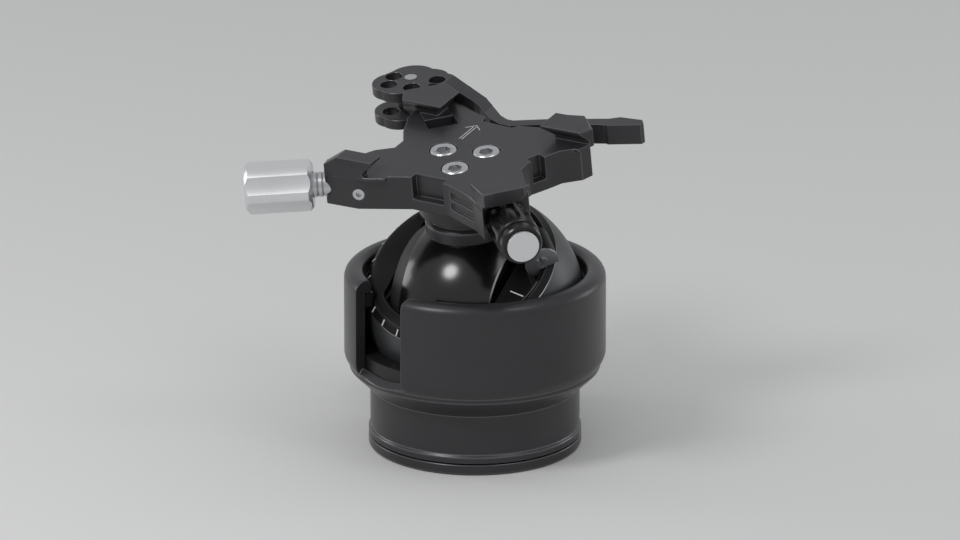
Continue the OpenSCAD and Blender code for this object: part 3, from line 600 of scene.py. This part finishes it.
@dataclass(frozen=True)
class FluteShape:
    """Long oval flutes round a knob, whose half angle is a share of their spacing."""

    count: int
    low_mm: float
    high_mm: float
    half_angle_share: float
    depth_mm: float
    end_mm: float = 2.2
    steepness: float = 2.2
    columns: int = 24
    row_mm: float = 0.25

    def depth_at(self, angle: float, height: float) -> float:
        """Return how deep the flutes are at a place.

        Args:
            angle: Angle round the knob, in radians.
            height: Height along it, in millimetres.

        Returns:
            The depth in millimetres, 0 between the flutes.
        """
        spacing = 2 * math.pi / self.count
        across = ((angle + spacing / 2) % spacing - spacing / 2) / (self.half_angle_share * spacing)
        middle, half = (self.low_mm + self.high_mm) / 2, (self.high_mm - self.low_mm) / 2
        along = max(0.0, abs(height - middle) - (half - self.end_mm)) / self.end_mm
        left = 1 - across ** 2 - along ** 2
        return self.depth_mm * min(1.0, self.steepness * left) ** 0.5 if left > 0 else 0.0


def carved_knob(name: str, outline_mm: Sequence[Point], flutes: FluteShape,
                place: Matrix) -> bpy.types.Object:
    """Turn a knob and carve its flutes.

    Args:
        name: Name of the new piece.
        outline_mm: Points (radius, height) from the axis at one end to the axis at the other.
        flutes: Shape of the flutes.
        place: Frame of the knob's axis.

    Returns:
        The new piece, without materials.
    """
    rows: list[Point] = []
    for low, high in zip(outline_mm, outline_mm[1:]):
        steps = max(1, round(abs(high[1] - low[1]) / flutes.row_mm))
        rows += [(low[0] + (high[0] - low[0]) * i / steps, low[1] + (high[1] - low[1]) * i / steps)
                 for i in range(steps)]
    rows.append(outline_mm[-1])
    around = flutes.count * flutes.columns
    work = bmesh.new()
    rings = []
    for radius, height in rows:
        ring = []
        for i in range(around):
            angle = 2 * math.pi * i / around
            r = max(radius - flutes.depth_at(angle, height), 0.0) if radius > flutes.depth_mm else radius
            ring.append(work.verts.new((r * math.cos(angle) * MM, r * math.sin(angle) * MM, height * MM)))
        rings.append(ring)
    skinned(work, rings)
    bmesh.ops.remove_doubles(work, verts=work.verts, dist=WELD_MM * MM)
    return new_object(name, kept_mesh(work, name, place))


def placed(piece: bpy.types.Object, body: str, slot: Slot, *nodes: str) -> bpy.types.Object:
    """Let a finished piece ride on its body and stand for CAD nodes.

    Args:
        piece: Finished piece.
        body: CAD body that carries it.
        slot: Record slot of its finish; not used.
        nodes: CAD nodes that it replaces.

    Returns:
        The piece.
    """
    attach(piece, body)
    if nodes:
        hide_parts(*nodes)
    log.info("piece %s rides on %s", piece.name, body)
    return piece


def dressed(node: str, finish: Any) -> None:
    """Give a CAD node that stays its finish."""
    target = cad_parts[node]
    target.data.materials.clear()
    target.data.materials.append(shop.material(finish))
    log.info("node %s keeps its own mesh", node)


class GeometryRecipe:
    """A Geometry Nodes tree under construction, with named inputs."""

    def __init__(self, name: str, kinds: Mapping[str, str]) -> None:
        """Make the tree with a geometry input, its named inputs, a material and a geometry output.

        Args:
            name: Name of the tree.
            kinds: Kind of each named input, such as "Int" or "Float".
        """
        self.tree = bpy.data.node_groups.new(name, "GeometryNodeTree")
        interface = self.tree.interface
        interface.new_socket("Geometry", in_out="INPUT", socket_type="NodeSocketGeometry")
        for label, kind in {**kinds, "Material": "Material"}.items():
            interface.new_socket(label, in_out="INPUT", socket_type="NodeSocket" + kind)
        interface.new_socket("Geometry", in_out="OUTPUT", socket_type="NodeSocketGeometry")
        self.start = add_node(self.tree, "NodeGroupInput")

    def given(self, name: str) -> bpy.types.NodeSocket:
        """Return a named input's socket inside the tree."""
        return self.start.outputs[name]

    def add(self, kind: str, settings: Optional[Settings] = None,
            inputs: Optional[Mapping[Any, Any]] = None) -> bpy.types.Node:
        """Add a node to the tree."""
        return add_node(self.tree, kind, settings, inputs)

    def finish(self, geometry: bpy.types.NodeSocket) -> bpy.types.NodeTree:
        """End the tree in Realize Instances and Set Material.

        Args:
            geometry: Socket with the finished geometry.

        Returns:
            The tree.
        """
        real = self.add("GeometryNodeRealizeInstances", None, {"Geometry": geometry})
        dressed_up = self.add("GeometryNodeSetMaterial", None, {
            "Geometry": real.outputs["Geometry"], "Material": self.given("Material")})
        self.add("NodeGroupOutput", None, {"Geometry": dressed_up.outputs["Geometry"]})
        return self.tree


def grown(name: str, tree: bpy.types.NodeTree, values: Mapping[str, Any], place: Matrix,
          seed_mesh: Optional[bpy.types.Mesh] = None) -> bpy.types.Object:
    """Run a Geometry Nodes tree and keep its result as a plain mesh.

    Args:
        name: Name of the new piece.
        tree: Tree to run.
        values: Value for each named input.
        place: Frame that the result is put in.
        seed_mesh: Mesh that goes in at the tree's geometry input.

    Returns:
        The new piece.
    """
    piece = new_object(name, seed_mesh or bpy.data.meshes.new(name))
    modifier = piece.modifiers.new("recipe", "NODES")
    modifier.node_group = tree
    for item in tree.interface.items_tree:
        if item.item_type == "SOCKET" and item.in_out == "INPUT" and item.name in values:
            modifier[item.identifier] = values[item.name]
    piece.update_tag()
    applied(piece)
    piece.data.transform(place)
    smooth_by_angle(piece.data, GROWN_SHARP_DEG)
    return piece


def polar_array_recipe() -> bpy.types.NodeTree:
    """Return a tree that repeats its geometry round the +Z axis."""
    recipe = GeometryRecipe("polar_array", {"Count": "Int", "First Angle": "Float", "Step Angle": "Float"})
    points = recipe.add("GeometryNodePoints", None, {"Count": recipe.given("Count")})
    index = recipe.add("GeometryNodeInputIndex")
    angle = recipe.add("ShaderNodeMath", {"operation": "MULTIPLY_ADD"}, {
        0: index.outputs[0], 1: recipe.given("Step Angle"), 2: recipe.given("First Angle")})
    turn = recipe.add("ShaderNodeCombineXYZ", None, {"Z": angle.outputs[0]})
    copies = recipe.add("GeometryNodeInstanceOnPoints", None, {
        "Points": points.outputs[0], "Instance": recipe.given("Geometry"), "Rotation": turn.outputs[0]})
    return recipe.finish(copies.outputs["Instances"])


def helix_recipe() -> bpy.types.NodeTree:
    """Return a tree that sweeps a round or pointed wire along a helix."""
    recipe = GeometryRecipe("wound_wire", {
        "Radius": "Float", "Turns": "Float", "Height": "Float", "Wire Radius": "Float", "Sides": "Int",
        "Steps": "Int"})
    spiral = recipe.add("GeometryNodeCurveSpiral", None, {
        "Resolution": recipe.given("Steps"), "Rotations": recipe.given("Turns"),
        "Start Radius": recipe.given("Radius"), "End Radius": recipe.given("Radius"),
        "Height": recipe.given("Height")})
    upright = recipe.add("GeometryNodeSetCurveNormal", {"mode": "Z_UP"}, {"Curve": spiral.outputs[0]})
    wire = recipe.add("GeometryNodeCurvePrimitiveCircle", {"mode": "RADIUS"}, {
        "Resolution": recipe.given("Sides"), "Radius": recipe.given("Wire Radius")})
    swept = recipe.add("GeometryNodeCurveToMesh", None, {
        "Curve": upright.outputs[0], "Profile Curve": wire.outputs[0], "Fill Caps": True})
    return recipe.finish(swept.outputs["Mesh"])


def bar_mesh(name: str, start_mm: Point, end_mm: Point, width_mm: float, thick_mm: float,
             up: Point) -> bpy.types.Mesh:
    """Return a thin bar between two places, as a mark stands on a surface.

    Args:
        name: Name of the mesh.
        start_mm: Middle of one end.
        end_mm: Middle of the other end.
        width_mm: Width across the surface.
        thick_mm: Thickness, half of it above the surface.
        up: Outward direction of the surface.

    Returns:
        The mesh.
    """
    start, end = Vector(start_mm) * MM, Vector(end_mm) * MM
    along = (end - start).normalized()
    out = Vector(up).normalized()
    side = along.cross(out).normalized() * width_mm * MM / 2
    rise = out * thick_mm * MM / 2
    work = bmesh.new()
    corners = [work.verts.new(p + a * side + b * rise)
               for p in (start, end) for a, b in ((-1, -1), (1, -1), (1, 1), (-1, 1))]
    for face in ((0, 1, 2, 3), (7, 6, 5, 4), (0, 4, 5, 1), (1, 5, 6, 2), (2, 6, 7, 3), (3, 7, 4, 0)):
        work.faces.new([corners[i] for i in face])
    return kept_mesh(work, name)


def hex_socket_head(name: str, radius: float, height: float, hex_radius: float, depth: float,
                    edge: float) -> bpy.types.Mesh:
    """Return a screw head with a hex socket: top at 0, sunk to -height, with a broken rim.

    Args:
        name: Name of the mesh.
        radius: Radius of the head, in millimetres as the other sizes.
        height: Height of the head.
        hex_radius: Radius of the socket's corners.
        depth: Depth of the socket.
        edge: Width of the broken rim.

    Returns:
        The mesh.
    """
    work = bmesh.new()
    around = 48
    lead_wide, lead_deep = 0.25, 0.18
    drill_share, drill_deep_share = 0.25, 0.05

    def ring(r: float, z: float, sides: int) -> list[bmesh.types.BMVert]:
        """Return a ring of points. A hexagon's ring has points along its sides."""
        points = []
        for i in range(around):
            a = 2 * math.pi * i / around
            reach = r
            if sides:
                sector = math.pi / sides
                reach = r * math.cos(sector) / math.cos((a % (2 * sector)) - sector)
            points.append(work.verts.new((reach * math.cos(a) * MM, reach * math.sin(a) * MM, z * MM)))
        return points

    rows = [ring(radius, -height, 0), ring(radius, -edge, 0), ring(radius - edge, 0, 0),
            ring(hex_radius + lead_wide, 0, 0), ring(hex_radius, -lead_deep, 6), ring(hex_radius, -depth, 6),
            ring(hex_radius * drill_share, -depth - hex_radius * drill_deep_share, 0)]
    skinned(work, rows)
    work.faces.new(list(reversed(rows[0])))
    work.faces.new(rows[-1])
    return kept_mesh(work, name)


@dataclass
class PanBase:
    """Foot, tripod bush and spindle that the housing turns on."""

    body: str = "base"
    thread_radius_mm: float = 4.35
    thread_pitch_mm: float = 1.5875
    thread_low_mm: float = 0.8
    thread_high_mm: float = 8.9
    ridge_r_mm: float = 0.62
    screw_circle_mm: float = 16

    def build(self) -> None:
        """Make and dress the base's pieces."""
        machined("foot_disc", self.body, Slot.BODY, 0.25, full_width=True)
        for drum in ("pan_spindle", "keeper_ring"):
            dressed(drum, turned_steel("turned_spindle", UPRIGHT, HIDDEN_STEEL))
        dressed("tripod_insert", turned_steel("turned_tripod_bush", UPRIGHT))
        for race in ("lower_race", "upper_race"):
            dressed(race, WASHER_FINISH)
        self.thread()
        self.foot_screws()

    def thread(self) -> None:
        """Wind the tripod thread's ridge inside the bush."""
        height = self.thread_high_mm - self.thread_low_mm
        piece = grown("tripod_thread", helix_recipe(), {
            "Radius": self.thread_radius_mm * MM, "Turns": height / self.thread_pitch_mm,
            "Height": height * MM, "Wire Radius": self.ridge_r_mm * MM, "Sides": 3, "Steps": 48,
            "Material": shop.material(turned_steel("turned_tripod_bush", UPRIGHT))},
            Matrix.Translation((0, 0, self.thread_low_mm * MM)))
        placed(piece, self.body, Slot.STEEL)

    def foot_screws(self) -> None:
        """Set the three countersunk screws round the foot."""
        head = hex_socket_head("foot_screw_head", radius=4.0, height=2.2, hex_radius=1.9, depth=1.4,
                               edge=0.15)
        flip = Matrix.Rotation(math.pi, 4, "X")
        head.transform(Matrix.Translation((self.screw_circle_mm * MM, 0, 0)) @ flip)
        steel = turned_steel("blackened_screw_steel", UPRIGHT, "#55575a")
        piece = grown("foot_screws_set", polar_array_recipe(), {
            "Count": 3, "First Angle": 0.0, "Step Angle": 2 * math.pi / 3,
            "Material": shop.material(steel)}, UPRIGHT, head)
        placed(piece, self.body, Slot.DARK_STEEL, "foot_screws")


@dataclass
class CupHousing:
    """Waisted cup with its liner rings and the two locks behind it."""

    body: str = "housing"
    main_direction: float = 121
    main_height_mm: float = 36
    pan_direction: float = 98
    pan_height_mm: float = 8.6

    def build(self) -> None:
        """Make and dress the housing, the liners and the locks."""
        machined("housing", self.body, Slot.BODY, 0.25, 40, full_width=True)
        dressed("ball_seat", PLASTIC_FINISH)
        dressed("retaining_ring", PLASTIC_FINISH)
        main = outward_frame(self.main_direction, self.main_height_mm)
        pan = outward_frame(self.pan_direction, self.pan_height_mm)
        machined("ball_lock_knob", "ball_lock", Slot.KNOB_BLACK, 0.3)
        machined("pan_lock_knob", "pan_lock", Slot.KNOB_BLACK, 0.25)
        dressed("ball_lock_screw", turned_steel("turned_main_screw", main, HIDDEN_STEEL))
        dressed("pan_lock_screw", turned_steel("turned_pan_screw", pan, HIDDEN_STEEL))
        bronze = TurnedMetal("sintered_bronze", BRONZE, roughness=0.42)
        dressed("lock_shoe", bronze)
        dressed("pan_pad", bronze)


@dataclass
class LevellingBall:
    """Bored sphere that levels the head, with its bevelled scale ring."""

    body: str = "outer_ball"
    radius_mm: float = 33.3
    ring_low_mm: float = 14.6
    ring_thick_mm: float = 1.7
    ring_low_r_mm: float = 29.93
    ring_top_r_mm: float = 28.2
    bore_r_mm: float = 27.6
    bore_low_mm: float = -14.5
    hollow_r_mm: float = 28.4
    marks: int = 14
    first_mark: float = 93.5
    mark_step: float = 13.33

    def build(self) -> None:
        """Make the ball, the ring and its marks."""
        self.ball()
        machined("scale_ring", self.body, Slot.YOKE, 0.12)
        self.scale()

    def ball(self) -> None:
        """Turn the ball: the sphere's outside, then up the bore."""
        top = math.degrees(math.asin(self.ring_low_mm / self.radius_mm))
        outside = arc_points(self.radius_mm, -90, top, 72)
        outside[0] = (0.0, -self.radius_mm)
        low = math.degrees(math.asin(self.bore_low_mm / self.hollow_r_mm))
        inside_r = math.sqrt(self.hollow_r_mm ** 2 - self.bore_low_mm ** 2)
        inside = [(self.bore_r_mm, self.ring_low_mm), (self.bore_r_mm, self.bore_low_mm),
                  (inside_r, self.bore_low_mm)] + arc_points(self.hollow_r_mm, low, -90, 12)[1:]
        inside[-1] = (0.0, -self.hollow_r_mm)
        piece = revolved("levelling_ball", outside + inside, OUTER)
        finish = TurnedMetal("turned_satin_grey_ball", "#505153", place=OUTER, roughness=0.42, metallic=0.6,
                             ring_depth_mm=0.002, tone_spread=0.05)
        # The light grey on the ball's broken edges is a painted highlight.
        edge = TurnedMetal("ball_edge_painted_highlight", "#8e8f91", place=OUTER, roughness=0.3)
        set_materials(piece, finish, edge)
        broken_edges(piece, 0.2)
        placed(piece, self.body, Slot.BALL_SATIN, "outer_ball")

    def scale(self) -> None:
        """Repeat the degree mark round the ring's bevel."""
        slope = Vector((self.ring_thick_mm, 0, self.ring_low_r_mm - self.ring_top_r_mm))
        low = Vector((self.ring_low_r_mm, 0, self.ring_low_mm))
        high = Vector((self.ring_top_r_mm, 0, self.ring_low_mm + self.ring_thick_mm))
        mark = bar_mesh("degree_mark", low.lerp(high, 0.12), low.lerp(high, 0.96), width_mm=0.4, thick_mm=0.4,
                        up=slope)
        piece = grown("scale_marks", polar_array_recipe(), {
            "Count": self.marks, "First Angle": math.radians(self.first_mark),
            "Step Angle": math.radians(self.mark_step),
            "Material": shop.material(MARK_FINISH)}, OUTER, mark)
        placed(piece, self.body, Slot.WASHER)


@dataclass
class TiltYoke:
    """Drum in the levelling ball that carries the tilting ball, with its cap and its small lock."""

    body: str = "yoke"
    line_from_mm: tuple[float, float] = (21.4, -6.3)
    line_to_mm: tuple[float, float] = (26.4, -7.3)
    cap_top_mm: float = 17.5

    def build(self) -> None:
        """Make and dress the yoke's pieces."""
        for node, width in (("yoke", 0.2), ("cap_ring", 0.18)):
            machined(node, self.body, Slot.YOKE, width, full_width=True)
        machined("lock_sleeve", self.body, Slot.YOKE, 0.15)
        dressed("lock_washer", LOCK_STEEL)
        dressed("tilt_lock_screw", LOCK_STEEL)
        dressed("cap_screws", turned_steel("blackened_cap_screws", OUTER, "#2a2a2b", 0.4))
        dressed("axle_bushes", TurnedMetal("sintered_bronze_bush", BRONZE, place=TILT_AXIS, roughness=0.42))
        line = new_object("index_line", bar_mesh(
            "index_line", (*self.line_from_mm, self.cap_top_mm), (*self.line_to_mm, self.cap_top_mm),
            width_mm=0.36, thick_mm=0.08, up=(0, 0, 1)))
        line.data.transform(OUTER)
        set_materials(line, MARK_FINISH)
        placed(line, self.body, Slot.WASHER)


@dataclass
class TiltingBall:
    """Gloss-black ball with its satin side disc, axle, springs and neck."""

    body: str = "head"
    radius_mm: float = 27.8
    right_mm: float = 17.3
    disc_at_mm: float = -12.0
    disc_step_mm: float = 0.45
    disc_gap_mm: float = 0.02
    pocket_r_mm: float = 12.2
    pocket_from_mm: float = 10.6
    axle_r_mm: float = 6.0

    def slice_outside(self, radius: float, low: float, high: float) -> list[tuple[float, float]]:
        """Return the sphere's points (radius, height) between two places on the tilt axis."""
        start, end = (math.degrees(math.asin(v / radius)) for v in (low, high))
        return arc_points(radius, start, end, 56)

    def build(self) -> None:
        """Make and dress the ball, the disc, the neck and what is inside."""
        gloss = TurnedMetal("polished_black_anodised_ball", "#0e0e0f", place=TILT_AXIS, roughness=0.2,
                            metallic=0.3, ring_depth_mm=0.0004, tone_spread=0.02, coat=0.5,
                            coat_roughness=0.18)
        satin = TurnedMetal("turned_satin_side_disc", "#2f3031", place=TILT_AXIS, roughness=0.5, metallic=0.3,
                            ring_depth_mm=0.002)
        # Near-white on the broken rims of the ball and the side disc is a painted highlight.
        rim = TurnedMetal("ball_rim_painted_highlight", "#b4b5b7", place=TILT_AXIS, roughness=0.3, ring_depth_mm=0.001)
        pocket, axle, deep = self.pocket_r_mm, self.axle_r_mm, self.pocket_from_mm
        ball = revolved("tilting_ball", self.slice_outside(self.radius_mm, self.disc_at_mm, self.right_mm) + [
            (pocket, self.right_mm), (pocket, deep), (axle, deep),
            (axle, -deep), (pocket, -deep), (pocket, self.disc_at_mm)], TILT_AXIS)
        set_materials(ball, gloss, rim)
        broken_edges(ball, 0.35)
        placed(ball, self.body, Slot.BALL_GLOSS, "inner_ball")
        disc_face = self.disc_at_mm - self.disc_gap_mm
        disc = revolved("ball_side_disc", self.slice_outside(
            self.radius_mm - self.disc_step_mm, -self.right_mm, disc_face) + [
                (pocket, disc_face), (pocket, -self.right_mm)], TILT_AXIS)
        set_materials(disc, satin, rim)
        broken_edges(disc, 0.15)
        placed(disc, self.body, Slot.BALL_SATIN, "side_disc")
        machined("neck", self.body, Slot.BODY, 0.3, full_width=True)
        steel = turned_steel("turned_axle_steel", TILT_AXIS, HIDDEN_STEEL)
        dressed("tilt_axle", steel)
        dressed("neck_bolt", turned_steel("turned_bolt_steel", HEAD, HIDDEN_STEEL))
        self.springs(steel)

    def springs(self, steel: TurnedMetal) -> None:
        """Wind the two balance springs round the axle, one mesh for both."""
        coil, wire, gap, turns = 9, 0.9, 0.15, 2
        pitch = 2 * (wire + gap)
        start = self.pocket_from_mm + wire + gap
        tree = helix_recipe()
        values = {"Radius": coil * MM, "Turns": float(turns), "Height": turns * pitch * MM,
                  "Wire Radius": wire * MM, "Sides": 12, "Steps": 64, "Material": shop.material(steel)}
        out = Matrix.Translation((0, 0, start * MM))
        right = grown("balance_springs_wound", tree, values, TILT_AXIS @ out)
        left = grown("left_spring", tree, values, TILT_AXIS @ Matrix.Rotation(math.pi, 4, "Y") @ out)
        joined(right, left)
        placed(right, self.body, Slot.DARK_STEEL, "balance_springs")


def joined(keep: bpy.types.Object, *others: bpy.types.Object) -> bpy.types.Object:
    """Join other pieces' meshes into the first piece.

    Args:
        keep: Piece that takes the others' meshes.
        others: Pieces that go away.

    Returns:
        The first piece.
    """
    work = bmesh.new()
    for piece in (keep, *others):
        work.from_mesh(piece.data)
    work.to_mesh(keep.data)
    work.free()
    for piece in others:
        bpy.data.objects.remove(piece)
    return keep


@dataclass
class DovetailClamp:
    """Cross-shaped clamp: plate with fixed jaws, movable jaw and lever."""

    body: str = "head"
    screw_circle_mm: float = 7.75
    screw_turn: float = 46
    lever_pin_mm: tuple[float, float] = (-38, 34.2)

    def build(self) -> None:
        """Make and dress the clamp's pieces."""
        for node, body, width in (("clamp_body", self.body, 0.22), ("sliding_jaw", "jaw", 0.22),
                                  ("clamp_lever", "lever", 0.2)):
            machined(node, body, Slot.BODY, width, full_width=True)
        pin = PLATE @ Matrix.Translation((*(v * MM for v in self.lever_pin_mm), 0))
        dressed("lever_pin", turned_steel("turned_pin_steel", pin))
        self.plate_screws()
        side = turned_steel("turned_set_screw_steel", HEAD)
        machined("side_pin", self.body, Slot.STEEL, 0.12, finish=side)
        self.arrow()

    def plate_screws(self) -> None:
        """Set the three socket screws in the plate."""
        head = hex_socket_head("plate_screw_head", radius=4.1, height=4.0, hex_radius=2.3, depth=2.2,
                               edge=0.3)
        head.transform(Matrix.Translation((self.screw_circle_mm * MM, 0, 0)))
        steel = turned_steel("turned_stainless_screw", PLATE, "#c9cacc", 0.3)
        piece = grown("plate_screws_set", polar_array_recipe(), {
            "Count": 3, "First Angle": math.radians(self.screw_turn), "Step Angle": 2 * math.pi / 3,
            "Material": shop.material(steel)}, PLATE, head)
        placed(piece, self.body, Slot.STEEL, "plate_screws")

    def arrow(self) -> None:
        """Mark the lens's way with a thin open arrow."""
        parts = [((-6.6, 9.8), (-6.6, 18.4)), ((-5.7, 9.8), (-5.7, 18.4)), ((-6.15, 19.4), (-8.7, 17.0)),
                 ((-6.15, 19.4), (-3.6, 17.0))]
        pieces = []
        for i, (a, b) in enumerate(parts):
            pieces.append(new_object("lens_arrow" if i == 0 else f"arrow_part_{i}", bar_mesh(
                f"arrow_part_{i}", (*a, 0), (*b, 0), width_mm=0.2, thick_mm=0.06, up=(0, 0, 1))))
        arrow = joined(*pieces)
        arrow.data.transform(PLATE)
        set_materials(arrow, MARK_FINISH)
        placed(arrow, self.body, Slot.WASHER)


@dataclass
class ClampKnobs:
    """Silver knob and fluted black knob of the clamp."""

    width_frame: Matrix = field(default_factory=lambda: plate_axis_frame((-35.35, -20.764, -6.1), 209))
    tension_frame: Matrix = field(default_factory=lambda: (
        PLATE @ Matrix.Rotation(math.radians(-45), 4, "Z")
        @ Matrix.Translation((0, 5.2 * MM, -7.4 * MM)) @ Matrix.Rotation(math.pi / 2, 4, "Y")))

    def build(self) -> None:
        """Make and dress the two knobs and their screws."""
        machined("width_knob", "width_knob", Slot.KNOB_SILVER, 0.35, 12)
        self.silver_shaft()
        self.black_knob()
        machined("tension_cap", "tension_knob", Slot.KNOB_SILVER, 0.2)
        dressed("tension_screw", turned_steel("turned_tension_screw", self.tension_frame, HIDDEN_STEEL))

    def silver_shaft(self) -> None:
        """Turn the silver knob's shaft, with two fine grooves between knob and arm."""
        outline = [(0, -1.5), (3.8, -1.5), (3.8, 1.0), (3.5, 1.3), (3.8, 1.6), (3.8, 2.6), (3.5, 2.9),
                   (3.8, 3.2), (3.8, 5.0), (0, 5.0)]
        shaft = revolved("width_shaft_turned", outline, self.width_frame)
        set_materials(shaft, turned_steel("turned_width_screw", self.width_frame))
        smooth_by_angle(shaft.data, SHARP_DEG)
        placed(shaft, "width_knob", Slot.STEEL, "width_screw")

    def black_knob(self) -> None:
        """Turn the black knob with its stepped end, and carve its long oval flutes."""
        outline = [(0.0, 32.4), (6.3, 32.4), (6.7, 32.8), (6.7, 46.9), (6.35, 47.3), (5.95, 47.4),
                   (5.95, 47.9), (6.25, 48.2), (6.25, 50.6), (5.9, 51.1), (5.2, 51.4), (5.2, 51.0),
                   (4.9, 50.9), (4.9, 50.45), (0.0, 50.45)]
        flutes = FluteShape(count=8, low_mm=34.4, high_mm=45.8, half_angle_share=0.34, depth_mm=1.15)
        piece = carved_knob("tension_knob_fluted", outline, flutes, self.tension_frame)
        set_materials(piece, KNOB_FINISH)
        smooth_by_angle(piece.data, FLUTE_SHARP_DEG)
        placed(piece, "tension_knob", Slot.KNOB_BLACK, "tension_knob")


@dataclass
class Studio:
    """Pale floor, soft lights and the camera at the photograph's angle."""

    pixels_per_mm: float = 3.3
    camera_distance: float = 4.0
    azimuth: float = 31.0
    elevation: float = 18.9
    ball_pixel: tuple[float, float] = (475.0, 300.15)
    floor_colour: str = "#d9d9d8"
    floor_radius: float = 12
    sensor_mm: float = 36

    def build(self) -> None:
        """Make the floor, the lights, the world and the camera."""
        self.floor()
        self.world()
        right, up, back = self.directions()
        self.lamp("key_softbox", right * -0.48 + up * 0.56 + back * 0.675, distance=0.6, size=0.17, power=1.0)
        self.lamp("fill_softbox", right * 0.43 + up * 0.68 + back * 0.595, distance=0.8, size=0.3, power=0.45)
        self.lamp("left_rim", right * -0.9 + up * 0.35 + back * -0.25, distance=0.8, size=0.3, power=0.7)
        self.lamp("right_rim", right * 0.9 + up * 0.3 + back * -0.3, distance=0.8, size=0.3, power=0.5)
        self.camera(right, up, back)

    def directions(self) -> tuple[Vector, Vector, Vector]:
        """Return the camera's right, up and backward directions."""
        a, e = math.radians(self.azimuth), math.radians(self.elevation)
        right = Vector((math.cos(a), math.sin(a), 0))
        back = Vector((math.sin(a) * math.cos(e), -math.cos(a) * math.cos(e), math.sin(e)))
        return right, back.cross(right), back

    def floor(self) -> None:
        """Lay a wide plain floor just under the foot."""
        work = bmesh.new()
        bmesh.ops.create_circle(work, cap_ends=True, radius=self.floor_radius, segments=64)
        mesh = bpy.data.meshes.new("floor")
        work.to_mesh(mesh)
        work.free()
        floor = new_object("floor", mesh)
        material, tree = blank_material("pale_studio_paper")
        place = local_place(tree, UPRIGHT)
        fibre = add_node(tree, "ShaderNodeTexNoise", None, {"Vector": place, "Scale": 300.0, "Detail": 2.0})
        bump = add_node(tree, "ShaderNodeBump", None, {"Distance": 0.03 * MM, "Height": fibre.outputs[0]})
        surfaced(tree, {"Base Color": linear(self.floor_colour), "Roughness": 0.85,
                        "Normal": bump.outputs["Normal"]})
        mesh.materials.append(material)

    def world(self) -> None:
        """Light the scene evenly from all sides."""
        world = bpy.data.worlds.new("studio_air")
        bpy.context.scene.world = world
        world.use_nodes = True
        world.node_tree.nodes.clear()
        light = add_node(world.node_tree, "ShaderNodeBackground", None, {
            "Color": linear("#f2f3f5"), "Strength": 0.6})
        add_node(world.node_tree, "ShaderNodeOutputWorld", None, {"Surface": light.outputs[0]})

    def lamp(self, name: str, towards: Vector, distance: float, size: float, power: float) -> None:
        """Hang a round soft lamp that faces the head.

        Args:
            name: Name of the lamp.
            towards: Direction of the lamp from the head.
            distance: Distance in metres.
            size: Width of the lamp in metres.
            power: Power in watts.
        """
        data = bpy.data.lights.new(name, "AREA")
        data.shape = "DISK"
        data.size = size
        data.energy = power
        lamp = bpy.data.objects.new(name, data)
        bpy.context.scene.collection.objects.link(lamp)
        way = towards.normalized()
        lamp.location = BALL_CENTRE + way * distance
        lamp.rotation_euler = way.to_track_quat("Z", "Y").to_euler()

    def camera(self, right: Vector, up: Vector, back: Vector) -> None:
        """Set the camera far away with a long lens, as the photograph was taken.

        Args:
            right: The camera's right.
            up: The camera's up.
            back: From the object to the camera.
        """
        width = PHOTO_WIDTH_PX / self.pixels_per_mm * MM
        data = bpy.data.cameras.new("photo_camera")
        data.sensor_width = self.sensor_mm
        data.lens = self.sensor_mm * self.camera_distance / width
        data.clip_end = 100
        camera = bpy.data.objects.new("photo_camera", data)
        bpy.context.scene.collection.objects.link(camera)
        shift_right = (PHOTO_WIDTH_PX / 2 - self.ball_pixel[0]) / self.pixels_per_mm * MM
        shift_up = (self.ball_pixel[1] - PHOTO_HEIGHT_PX / 2) / self.pixels_per_mm * MM
        eye = BALL_CENTRE + right * shift_right + up * shift_up + back * self.camera_distance
        turn = Matrix((right, up, back)).transposed().to_4x4()
        camera.matrix_world = Matrix.Translation(eye) @ turn
        bpy.context.scene.camera = camera


def write_sizes() -> None:
    """Bring the scene's placements up to date."""
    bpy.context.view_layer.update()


def main() -> None:
    """Build every sub-assembly, the marks and the studio."""
    logging.basicConfig(level=logging.INFO, format="%(name)s: %(message)s")
    bpy.context.scene.view_settings.view_transform = "Standard"
    Studio().build()
    PanBase().build()
    CupHousing().build()
    LevellingBall().build()
    TiltYoke().build()
    TiltingBall().build()
    DovetailClamp().build()
    ClampKnobs().build()
    write_sizes()


if __name__ == "__main__":
    main()
